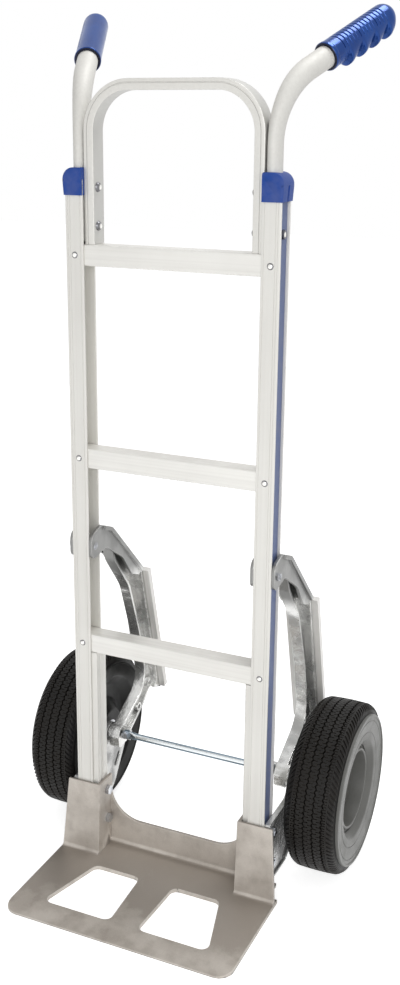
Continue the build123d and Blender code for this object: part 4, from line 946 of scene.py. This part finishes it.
class HANDTRUCK_OT_rails(Operator):
    """Builds the two rails with their die lines"""

    bl_idname = "hand_truck.rails"
    bl_label = "Rails"

    def execute(self, context):
        sizes = settings().rails
        low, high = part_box("rail_right")
        front, back = low.y, high.y
        front_in, back_in = front + sizes.flange, back - sizes.flange
        web_out = high.x - sizes.strip_channel
        web_in = web_out - sizes.web
        outside, inside, lip = sizes.corner, sizes.inside, sizes.inside / 2
        first = sizes.line_from_edge
        places = [low.x + first, high.x - first - sizes.line_pitch, high.x - first]

        def die_lines(level, depth):
            rows = [notch(place, level, sizes.line_width, depth) for place in places]
            return [corner for row in rows for corner in row]

        corners = [
            (low.x, front, outside), *die_lines(front, sizes.line_depth), (high.x, front, outside),
            (high.x, front_in, lip), (web_out, front_in, inside),
            (web_out, back_in, inside), (high.x, back_in, lip), (high.x, back, outside),
            *reversed(die_lines(back, -sizes.line_depth)), (low.x, back, outside),
            (low.x, back_in, lip), (web_in, back_in, inside),
            (web_in, front_in, inside), (low.x, front_in, lip),
        ]
        top = high.z - settings().caps.over_rail
        add_pair("rail", "drawn", prism(rounded_outline(corners), low.z, top))
        return {"FINISHED"}


class HANDTRUCK_OT_caps(Operator):
    """Builds the moulded rail caps with their round shoulders and side slots"""

    bl_idname = "hand_truck.caps"
    bl_label = "Rail caps"

    steps: IntProperty(
        name="Steps", description="Rings along the front and back roundings", default=6
    )

    def execute(self, context):
        sizes = settings().caps
        low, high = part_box("rail_cap_right")
        edge = sizes.edge
        middle = (low.y + high.y) / 2
        half_slot = sizes.slot_width / 2
        stations = []
        for step in range(self.steps + 1):
            at = pi / 2 * step / self.steps
            stations.append((low.y + edge * (1 - cos(at)), edge * (1 - sin(at)), 0.0))
        for off, cut in ((half_slot, 0.0), (half_slot * SLOT_FLOOR, sizes.slot_depth)):
            stations.append((middle - off, 0.0, cut))
        stations += [(2 * middle - back, inset, cut) for back, inset, cut in reversed(stations)]
        rings = []
        for back, inset, cut in stations:
            section = self.outline(sizes, low, high, inset, cut)
            rings.append([(x, back, z) for x, z in section])
        add_pair("rail_cap", "moulded", skin(rings, capped=True))
        return {"FINISHED"}

    def outline(self, sizes, low, high, inset, cut):
        """Section across the truck, drawn in at its edges and cut by the slot on its side."""
        side = high.x - inset
        top = high.z - inset
        slot_top = high.z - sizes.slot_from_top
        corners = [
            (low.x, low.z, 0), (side - cut - sizes.taper, low.z, 0),
            (side - cut, slot_top - sizes.edge, 0), (side, slot_top, 0),
            (side, top, sizes.shoulder), (low.x, top, sizes.edge / 2),
        ]
        return rounded_outline(corners, steps=10)


class HANDTRUCK_OT_liners(Operator):
    """Builds the liners that stand in the rails below the bottom rung"""

    bl_idname = "hand_truck.liners"
    bl_label = "Rail liners"

    def execute(self, context):
        sizes = settings().rails
        low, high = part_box("rail_liner_right")
        half = sizes.liner_groove_width / 2
        half_floor = half * LINER_GROOVE_FLOOR
        groove = low.y + (high.y - low.y) * LINER_GROOVE_PLACE
        floor = low.x + sizes.liner_groove
        outside, inside = sizes.liner_corner, sizes.inside
        corners = [
            (low.x, low.y, outside), (high.x, low.y, outside),
            (high.x, high.y, outside), (low.x, high.y, outside),
            (low.x, groove + half, inside), (floor, groove + half_floor, inside),
            (floor, groove - half_floor, inside), (low.x, groove - half, inside),
        ]
        add_pair("rail_liner", "drawn", prism(rounded_outline(corners), low.z, high.z))
        return {"FINISHED"}


class HANDTRUCK_OT_top_loop(Operator):
    """Builds the top loop with its rounded edges and grooves"""

    bl_idname = "hand_truck.top_loop"
    bl_label = "Top loop"

    def execute(self, context):
        sizes = settings().loop
        low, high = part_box("top_loop")
        groove, wide, deep = sizes.groove_from_edge, sizes.groove_width, sizes.groove_depth
        section = rounded_outline([
            (0, low.y, sizes.edge), *notch(groove, low.y, wide, deep),
            (sizes.width, low.y, sizes.edge), (sizes.width, high.y, sizes.edge),
            *reversed(notch(groove, high.y, wide, -deep)), (0, high.y, sizes.edge),
        ])
        bend_x = high.x - sizes.bend
        bend_z = high.z - sizes.bend
        rings = [[(inset - high.x, y, low.z) for inset, y in section]]
        for middle, start in ((-bend_x, pi), (bend_x, pi / 2)):
            for step in range(sizes.bend_steps + 1):
                at = start - pi / 2 * step / sizes.bend_steps
                ring = []
                for inset, y in section:
                    out = sizes.bend - inset
                    ring.append((middle + out * cos(at), y, bend_z + out * sin(at)))
                rings.append(ring)
        rings.append([(high.x - inset, y, low.z) for inset, y in section])
        mesh = mesh_of("top_loop", *skin(rings, capped=True))
        add_piece("top_loop", "drawn", mesh, look="loop_aluminium")
        return {"FINISHED"}


def bend_start(sizes):
    """Start of a handle tube's bend, and the level way that it turns to, on the right."""
    low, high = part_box("rail_right")
    rails = settings().rails
    web_in = high.x - rails.strip_channel - rails.web
    start = Vector(((low.x + web_in) / 2, (low.y + high.y) / 2, sizes.bend_level))
    return start, Vector((sin(sizes.splay), cos(sizes.splay), 0))


def bend_point(sizes, start, outwards, turn):
    """Middle of a handle tube where its bend has come to a turn."""
    out = sizes.bend_radius * (1 - cos(turn))
    return start + outwards * out + UP * (sizes.bend_radius * sin(turn))


def grip_place(sizes):
    """Middle of a grip's mouth, and the grip's axis, on the right."""
    start, outwards = bend_start(sizes)
    turn = sizes.bend_angle
    axis = outwards * sin(turn) + UP * cos(turn)
    return bend_point(sizes, start, outwards, turn) + axis * sizes.to_grip, axis


def smooth(value, start, end):
    """Goes smoothly from 0 at start to 1 at end."""
    share = min(1, max(0, (value - start) / (end - start)))
    return share * share * (3 - 2 * share)


class HANDTRUCK_OT_handle_tubes(Operator):
    """Builds the bent handle tubes, oval in the rails and round at the grips"""

    bl_idname = "hand_truck.handle_tubes"
    bl_label = "Handle tubes"

    facets: IntProperty(name="Facets", description="Facets around the tube", default=56)
    bend_steps: IntProperty(name="Bend steps", description="Sections along the bend", default=32)

    def execute(self, context):
        sizes = settings().handles
        start, outwards = bend_start(sizes)
        mouth, axis = grip_place(sizes)
        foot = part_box("handle_tube_right")[0].z
        stations = [(Vector((start.x, start.y, foot)), 0.0, 0.0)]
        for step in range(self.bend_steps + 1):
            share = step / self.bend_steps
            turn = sizes.bend_angle * share
            middle = bend_point(sizes, start, outwards, turn)
            stations.append((middle, turn, smooth(share, 0, 1)))
        stations.append((mouth + axis * sizes.grip_radius, sizes.bend_angle, 1.0))
        sideways = Vector((cos(sizes.splay), -sin(sizes.splay), 0))
        rings = []
        for middle, turn, growth in stations:
            lean = outwards * cos(turn) - UP * sin(turn)
            wide = sideways * cos(sizes.splay) + lean * sin(sizes.splay)
            deep = lean * cos(sizes.splay) - sideways * sin(sizes.splay)
            half_x = sizes.oval_x + (sizes.radius - sizes.oval_x) * growth
            half_y = sizes.oval_y + (sizes.radius - sizes.oval_y) * growth
            rings.append([
                middle + wide * (half_x * cos(roll)) + deep * (half_y * sin(roll))
                for roll in full_turn(self.facets)
            ])
        add_pair("handle_tube", "bent", skin(rings, capped=True), look="tube_aluminium")
        return {"FINISHED"}


def cover_at(roll, middle, full, end):
    """1 within a roll of full from the middle, and smoothly down to 0 at the end."""
    apart = abs((roll - middle + pi) % (2 * pi) - pi)
    return 1 - smooth(apart, full, end)


def groove_at(along, start, pitch, total, width):
    """Share of its full depth that the nearest groove of a row has at a point."""
    nearest = round((along - start) / pitch)
    if not 0 <= nearest < total:
        return 0
    off = abs(along - start - nearest * pitch)
    return 1 - smooth(off, width * GROOVE_FLOOR_END, width * GROOVE_MOUTH_END)


def grip_radius_at(sizes, along, roll, rib_middle):
    """Radius of the grip at a distance from its mouth and a roll from straight up."""
    collar_end = sizes.collar_length
    radius = sizes.grip_radius
    radius += sizes.collar * (1 - smooth(along, collar_end, collar_end + COLLAR_SOFT))
    radius -= sizes.collar * (1 - smooth(along, 0, COLLAR_SOFT)) * 2
    dome_start = sizes.grip_length - sizes.dome
    if along > dome_start:
        share = (along - dome_start) / sizes.dome
        radius = sizes.tip + (sizes.grip_radius - sizes.tip) * sqrt(max(0, 1 - share * share))
    cover = cover_at(roll, rib_middle, sizes.rib_half - RIB_FADE, sizes.rib_half)
    radius -= sizes.rib_depth * cover * groove_at(
        along, sizes.rib_start, sizes.rib_pitch, sizes.rib_count, sizes.rib_gap
    )
    cover = cover_at(roll, sizes.line_roll, sizes.line_half - LINE_FADE, sizes.line_half)
    radius -= sizes.line_depth * cover * groove_at(
        along, sizes.line_start, sizes.line_pitch, sizes.line_count, sizes.line_width
    )
    cover = cover_at(roll, sizes.finger_roll, sizes.finger_half * FINGER_FULL, sizes.finger_half)
    crest = sizes.finger_lead + sizes.finger_flat
    for finger in range(sizes.finger_count):
        past = along - sizes.finger_start - finger * sizes.finger_pitch
        room = sizes.grip_length - sizes.tip - along + past
        tail = min(sizes.finger_lead + sizes.finger_slope, room)
        if 0 <= past < tail:
            lead = smooth(past, 0, sizes.finger_lead * FINGER_RISE)
            fall = 1 - max(0, past - crest) / (tail - crest)
            radius += sizes.finger_height * cover * lead * min(1, fall)
    return radius


class HANDTRUCK_OT_grips(Operator):
    """Builds the moulded grips with their ribs and finger ridges"""

    bl_idname = "hand_truck.grips"
    bl_label = "Grips"

    facets: IntProperty(name="Facets", description="Facets around the grip", default=132)
    step: FloatProperty(
        name="Step", description="Distance between rings", default=0.0005, unit="LENGTH"
    )
    mouth_depth: FloatProperty(
        name="Mouth", description="Depth of the open mouth", default=0.006, unit="LENGTH"
    )

    def execute(self, context):
        sizes = settings().handles
        mouth, axis = grip_place(sizes)
        above = (UP - axis * axis.z).normalized()
        beside = axis.cross(above)
        rolls = full_turn(self.facets)
        ways = [above * cos(roll) + beside * sin(roll) for roll in rolls]
        inside = sizes.radius + self.step / 4
        last = int(sizes.grip_length / self.step)
        for side, hand in HANDS.items():
            node = "handle_grip_" + side
            rib_middle = sizes.rib_middle + (sizes.left_turn if hand < 0 else 0)
            rings = [
                [mouth + axis * depth + way * inside for way in ways]
                for depth in (self.mouth_depth, 0)
            ]
            for index in range(last + 1):
                along = min(index * self.step, sizes.grip_length)
                rings.append([
                    mouth + axis * along + way * grip_radius_at(sizes, along, roll, rib_middle)
                    for way, roll in zip(ways, rolls)
                ])
            mesh = mesh_of(node, *skin(rings, capped=True), hand)
            add_piece(node, "moulded", mesh, sharp=50)
        return {"FINISHED"}


class HANDTRUCK_OT_castings(Operator):
    """Rounds the edges of the nose plate, wheel arms, wheel brackets and wear strips"""

    bl_idname = "hand_truck.castings"
    bl_label = "Castings"

    def execute(self, context):
        edges = settings().edges
        add_softened("nose_plate", edges.nose, level=edges.nose_level)
        for side in HANDS:
            add_softened("wheel_arm_" + side, edges.arm)
            add_softened("wheel_bracket_" + side, edges.bracket, "bracket_alloy")
            add_softened("wear_strip_" + side, edges.strip)
        return {"FINISHED"}


# Wheels

# Phases of one tread block: the slits of one half of a rib, then those of the other half
SLIT_PHASES = [0.0, 0.04, 0.09, 0.19, 0.24, 0.28, 0.5, 0.54, 0.59, 0.69, 0.74, 0.78]
FIRST_SLIT = (0.09, 0.19)
SECOND_SLIT = (0.59, 0.69)
NOTCH_PHASES = (0.04, 0.09, 0.19, 0.24, 0.28, 0.5)

# Half width of the ledge between a rib's two rows of slits
LEDGE = 0.0006

# Distances from the last groove at which the outer slits' floors and their ends lie
OUTER_SLIT_FLOOR = 0.0042
OUTER_SLIT_END = 0.0044

# Power with which the shoulder falls away from the crown
SHOULDER_POWER = 1.7

# Rows on the shoulder: share of its width, skew, and share of the notch's depth
SHOULDER_ROWS = (
    (0.1, 0.0, 0), (0.16, 0.0, 0.8), (0.5, 0.3, 1), (0.75, 0.6, 1), (1, 0.9, 1),
)

# Rows on the side wall: share of its height, and share of the notch's depth
WALL_ROWS = ((0.3, 1), (0.36, 0), (0.6, 0), (0.8, 0))
WALL_SKEW = 1.2

# Distances of the rim's two ring grooves from the lip and from the dish
RING_FROM_LIP = 0.006
RING_FROM_DISH = 0.011

# Rounding of the lip's edges, as a share of the step beside it
LIP_ROUND = 0.7


def around(centre, x, out, at):
    """A point at a distance and an angle from a wheel's axle."""
    return x, centre.y + out * cos(at), centre.z + out * sin(at)


def crown_at(sizes, radius, across):
    """Radius of the tread's surface at a distance from the tyre's middle."""
    off = abs(across)
    if off <= sizes.crown_half:
        return radius - sizes.crown_drop * (off / sizes.crown_half) ** 2
    share = (off - sizes.crown_half) / (sizes.shoulder_half - sizes.crown_half)
    fall = (sizes.shoulder_drop - sizes.crown_drop) * share ** SHOULDER_POWER
    return radius - sizes.crown_drop - fall


def tread_lines(sizes, radius, half_width):
    """Lines around the tyre: across, radius, zigzag share, first slit, second slit, skew, notch."""
    half_top = sizes.groove_width / 2
    half_floor = sizes.groove_floor / 2
    slit = sizes.sipe_depth
    middle_groove = (sizes.grooves - 1) / 2
    grooves = [(index - middle_groove) * sizes.groove_pitch for index in range(sizes.grooves)]
    lines = []
    for before, after in zip(grooves, grooves[1:]):
        left, right = before + half_top, after - half_top
        middle = (left + right) / 2
        for across, share, first, second in (
            (left, 1, slit, 0), (middle - LEDGE, 0.6, slit, 0), (middle, 0.5, slit, slit),
            (middle + LEDGE, 0.6, 0, slit), (right, 1, 0, slit),
        ):
            level = crown_at(sizes, radius, across)
            lines.append((across, level, share, first, second, 0.0, 0.0))
    for groove in grooves:
        floor = crown_at(sizes, radius, groove) - sizes.groove_depth
        lines.append((groove - half_floor, floor, 1, 0, 0, 0.0, 0.0))
        lines.append((groove + half_floor, floor, 1, 0, 0, 0.0, 0.0))
    edge = grooves[-1] + half_top
    span = sizes.shoulder_half - sizes.crown_half
    rows = [
        (edge, 1, slit, 0.0, 0.0), (edge + OUTER_SLIT_FLOOR, 0.2, slit, 0.0, 0.0),
        (edge + OUTER_SLIT_END, 0.2, 0.0, 0.0, 0.0), (sizes.crown_half, 0, 0.0, 0.0, 0.0),
    ]
    for place, skew, depth in SHOULDER_ROWS:
        across = sizes.shoulder_half if place == 1 else sizes.crown_half + span * place
        rows.append((across, 0, 0.0, skew, sizes.notch_depth * depth))
    wall = radius - sizes.height
    shoulder = radius - sizes.shoulder_drop
    for hand in (-1, 1):
        for across, share, cut, skew, notched in rows:
            level = crown_at(sizes, radius, across)
            lines.append((hand * across, level, share, cut, cut, skew, notched))
        for drop, depth in WALL_ROWS:
            across = sizes.shoulder_half + (half_width - sizes.shoulder_half) * drop
            level = shoulder + (wall - shoulder) * drop
            notched = sizes.notch_depth * depth
            lines.append((hand * across, level, 0, 0.0, 0.0, WALL_SKEW, notched))
    return sorted(lines)


class HANDTRUCK_OT_tyres(Operator):
    """Builds the tyres with grooves, slits and slanted shoulder notches"""

    bl_idname = "hand_truck.tyres"
    bl_label = "Tyres"

    def execute(self, context):
        sizes = settings().tread
        low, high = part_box("tyre_right")
        centre = (low + high) / 2
        radius = (high.z - low.z) / 2
        half = (high.x - low.x) / 2
        lines = tread_lines(sizes, radius, half)
        wall = radius - sizes.height
        bead = wall - sizes.bead
        inside = [(half, wall), (half, bead), (-half, bead), (-half, wall)]
        pitch = 2 * pi / sizes.pitches
        rings = []
        for block in range(sizes.pitches):
            for phase in SLIT_PHASES:
                # Wanders from one side at the block's ends to the other in its middle
                sideways = sizes.zigzag * (abs(phase - 0.5) * 4 - 1)
                ring = []
                for across, level, share, first, second, skew, notched in lines:
                    cut = first if phase in FIRST_SLIT else second if phase in SECOND_SLIT else 0
                    cut += notched if phase in NOTCH_PHASES else 0
                    x = centre.x + across + sideways * share
                    ring.append(around(centre, x, level - cut, pitch * (block + phase + skew)))
                for across, out in inside:
                    ring.append(around(centre, centre.x + across, out, pitch * (block + phase)))
                rings.append(ring)
        add_pair("tyre", "treaded", skin(rings, loop=True), on_wheel=True, sharp=40)
        return {"FINISHED"}


class HANDTRUCK_OT_rims(Operator):
    """Turns the outer rim halves with their ring grooves, and the cups behind them"""

    bl_idname = "hand_truck.rims"
    bl_label = "Rims"

    def execute(self, context):
        sizes = settings().rims
        lip_low = sizes.lip - sizes.lip_band
        face = sizes.lip_out - sizes.step
        dished = face - sizes.dish
        wall = sizes.wall
        valley, valley_back = sizes.valley, sizes.valley - sizes.wall
        cup_out = sizes.valley + sizes.cup_height
        edge = sizes.step * LIP_ROUND
        soft = sizes.cup_round

        def ring_groove(radius):
            fall = sizes.dish * (radius - sizes.dish_outer) / (lip_low - sizes.dish_outer)
            corners = notch(radius, dished + fall, sizes.ring_width, -sizes.ring_depth)
            return [(level, out, 0) for out, level, _ in reversed(corners)]

        face_ring = [
            (0, sizes.seat, 0), (sizes.lip_in, sizes.seat, 0), (sizes.lip_in, sizes.lip, 0),
            (sizes.lip_out, sizes.lip, edge), (sizes.lip_out, lip_low, edge), (face, lip_low, 0),
            *ring_groove(lip_low - RING_FROM_LIP),
            *ring_groove(sizes.dish_outer + RING_FROM_DISH),
            (dished, sizes.dish_outer, sizes.dish_round),
            (valley + sizes.valley_step, sizes.dish_inner, 0),
            (valley, sizes.dish_inner, 0), (valley, sizes.flange, 0),
            (dished - wall, sizes.dish_outer + wall, sizes.dish_round),
            (face - wall, sizes.seat - wall, 0), (0, sizes.seat - wall, 0),
        ]
        cup = [
            (valley, sizes.flange, 0), (valley, sizes.cup_valley, soft),
            (cup_out, sizes.cup_lip, soft), (cup_out, sizes.cup_mouth, soft),
            (sizes.floor_out, sizes.floor, 0), (sizes.floor_out, sizes.floor + wall, 0),
            (valley_back, sizes.cup_lip + soft, soft), (valley_back, sizes.flange, 0),
        ]
        self.turn("rim_outer", face_ring, sizes.segments)
        self.turn("rim_cup", cup, sizes.segments)
        return {"FINISHED"}

    def turn(self, node, corners, segments):
        """Turns a section about the axle on both wheels."""
        low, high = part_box("tyre_right")
        centre = (low + high) / 2
        section = rounded_outline(corners, steps=6)
        rings = [
            [around(centre, centre.x + across, out, at) for across, out in section]
            for at in full_turn(segments)
        ]
        add_pair(node, "turned", skin(rings, loop=True), on_wheel=True)


# Solids whose look is a variant of their slot's
LOOKS = {
    "rung_top": "rung_aluminium", "rung_middle": "rung_aluminium", "rung_bottom": "rung_aluminium",
    "rung_rivets": "rivet_steel", "loop_bolts": "bolt_steel", "loop_nuts": "dark_steel",
    "arm_bolts": "dull_steel", "arm_nuts": "dull_steel", "cross_brace": "blue_zinc",
    # The inner rims take the shaded copy of the rim's finish: painted shade
    "rim_inner_left": "rim_inside", "rim_inner_right": "rim_inside",
}


class HANDTRUCK_OT_hardware(Operator):
    """Gives the CAD solids their finishes, which show where no built piece stands for them"""

    bl_idname = "hand_truck.hardware"
    bl_label = "Fasteners and plain solids"

    def execute(self, context):
        for node, solid in frame["nodes"].items():
            look = finish(LOOKS.get(node, NODE_SLOTS[node]))
            if not solid.material_slots:
                solid.data.materials.append(look)
            for place in solid.material_slots:
                place.material = look
        return {"FINISHED"}


# Studio

# Lamps by the setting that holds their power: name, place, aim and size
LAMPS = {
    "key": ("Key lamp", (1.3, -3.7, 1.6), (0, 0, 0.6), (2.6, 2.2)),
    "side": ("Side lamp", (2.7, -0.6, 1.4), (0, 0, 0.7), (1.8, 2.4)),
    "top": ("Top lamp", (0.6, 0.85, 3.2), (0.2, 0.15, 1.15), (1.3, 0.7)),
}
SENSOR_HEIGHT = 36
FLOOR_GLOW = 0.75
WHITE = (1, 1, 1, 1)


class HANDTRUCK_OT_stage(Operator):
    """Sets up the floor, the soft light and the camera"""

    bl_idname = "hand_truck.stage"
    bl_label = "Stage"

    def execute(self, context):
        sizes = settings().stage
        scene = context.scene
        scene.view_settings.view_transform = "Standard"
        self.add_floor(scene, sizes.floor_reach)
        self.light_world(scene, sizes.fill)
        for setting, (name, place, aim, size) in LAMPS.items():
            power = getattr(sizes, setting)
            self.add_lamp(scene, name, Vector(place), Vector(aim), size, power)
        camera = bpy.data.objects.new("Camera", bpy.data.cameras.new("Camera"))
        scene.collection.objects.link(camera)
        level = cos(sizes.pitch)
        view = Vector((-sin(sizes.yaw) * level, cos(sizes.yaw) * level, sin(sizes.pitch)))
        turn = view.to_track_quat("-Z", "Y").to_matrix() @ Matrix.Rotation(sizes.roll, 3, "Z")
        camera.matrix_world = Matrix.Translation(sizes.eye) @ turn.to_4x4()
        camera.data.sensor_fit = "VERTICAL"
        camera.data.sensor_height = SENSOR_HEIGHT
        camera.data.lens = sizes.lens
        camera.data.shift_x = sizes.shift_x
        camera.data.shift_y = sizes.shift_y
        scene.camera = camera
        return {"FINISHED"}

    def add_floor(self, scene, reach):
        """A wide pale floor that shows white to the camera and keeps the shadow."""
        mesh = bpy.data.meshes.new("Floor")
        corners = [(-reach, -reach, 0), (reach, -reach, 0), (reach, reach, 0), (-reach, reach, 0)]
        mesh.from_pydata(corners, [], [(0, 1, 2, 3)])
        floor = bpy.data.objects.new("Floor", mesh)
        scene.collection.objects.link(floor)
        material = bpy.data.materials.new("Floor")
        material.use_nodes = True
        tree = material.node_tree
        tree.nodes.remove(tree.nodes["Principled BSDF"])
        matte = add_node(tree, "ShaderNodeBsdfDiffuse")
        matte.inputs["Color"].default_value = settings().colours.floor
        glow = add_node(tree, "ShaderNodeEmission")
        glow.inputs["Strength"].default_value = FLOOR_GLOW
        lit = add_node(tree, "ShaderNodeAddShader")
        feed(tree, matte.outputs[0], lit.inputs[0])
        feed(tree, glow.outputs[0], lit.inputs[1])
        self.mix_seen(tree, matte, lit, tree.nodes["Material Output"])
        mesh.materials.append(material)

    def light_world(self, scene, fill):
        """A white surround that lights matte surfaces more softly than it shows."""
        world = bpy.data.worlds.new("Studio")
        scene.world = world
        world.use_nodes = True
        tree = world.node_tree
        tree.nodes.clear()
        soft = add_node(tree, "ShaderNodeBackground")
        soft.inputs["Strength"].default_value = fill
        white = add_node(tree, "ShaderNodeBackground")
        for node in (soft, white):
            node.inputs["Color"].default_value = WHITE
        self.mix_seen(tree, soft, white, add_node(tree, "ShaderNodeOutputWorld"))

    def mix_seen(self, tree, unseen, seen, output):
        """One shader for rays that show it, also in metal and glass, and another for the rest."""
        path = add_node(tree, "ShaderNodeLightPath").outputs
        shiny = arithmetic(tree, "MAXIMUM", path["Is Glossy Ray"], path["Is Transmission Ray"])
        mix = add_node(tree, "ShaderNodeMixShader")
        feed(tree, arithmetic(tree, "MAXIMUM", path["Is Camera Ray"], shiny), mix.inputs[0])
        feed(tree, unseen.outputs[0], mix.inputs[1])
        feed(tree, seen.outputs[0], mix.inputs[2])
        feed(tree, mix.outputs[0], output.inputs["Surface"])

    def add_lamp(self, scene, name, place, aim, size, power):
        """A large lamp that looks at a point."""
        lamp = bpy.data.objects.new(name, bpy.data.lights.new(name, "AREA"))
        lamp.data.shape = "RECTANGLE"
        lamp.data.size, lamp.data.size_y = size
        lamp.data.energy = power
        turn = (aim - place).to_track_quat("-Z", "Y").to_matrix().to_4x4()
        lamp.matrix_world = Matrix.Translation(place) @ turn
        scene.collection.objects.link(lamp)


class HANDTRUCK_PT_panel(Panel):
    """Lists the hand truck's builders and settings"""

    bl_label = "Hand truck"
    bl_idname = "HANDTRUCK_PT_panel"
    bl_space_type = "VIEW_3D"
    bl_region_type = "UI"
    bl_category = "Hand truck"

    def draw(self, context):
        for builder in BUILDERS:
            self.layout.operator(builder.bl_idname)
        for group in HandTruckSettings.__annotations__:
            column = self.layout.column(align=True)
            column.label(text=group.capitalize())
            chosen = getattr(context.scene.hand_truck, group)
            for item in chosen.bl_rna.properties:
                if item.identifier not in ("rna_type", "name"):
                    column.prop(chosen, item.identifier)


SETTING_GROUPS = (
    RailSizes, CapSizes, LoopSizes, HandleSizes, TreadSizes, RimSizes, EdgeSizes, Colours,
    StageSizes, HandTruckSettings,
)
BUILDERS = (
    HANDTRUCK_OT_hardware, HANDTRUCK_OT_rails, HANDTRUCK_OT_caps, HANDTRUCK_OT_liners,
    HANDTRUCK_OT_top_loop, HANDTRUCK_OT_handle_tubes, HANDTRUCK_OT_grips, HANDTRUCK_OT_castings,
    HANDTRUCK_OT_tyres, HANDTRUCK_OT_rims, HANDTRUCK_OT_stage,
)
CLASSES = (*SETTING_GROUPS, *BUILDERS, HANDTRUCK_PT_panel)


def register():
    """Makes the settings, the builders and the panel known."""
    for kind in CLASSES:
        bpy.utils.register_class(kind)
    bpy.types.Scene.hand_truck = PointerProperty(type=HandTruckSettings)


def unregister():
    """Takes them away again."""
    del bpy.types.Scene.hand_truck
    for kind in reversed(CLASSES):
        bpy.utils.unregister_class(kind)


def main():
    """Builds everything."""
    register()
    for builder in BUILDERS:
        family, action = builder.bl_idname.split(".")
        getattr(getattr(bpy.ops, family), action)()


if __name__ == "__main__":
    main()
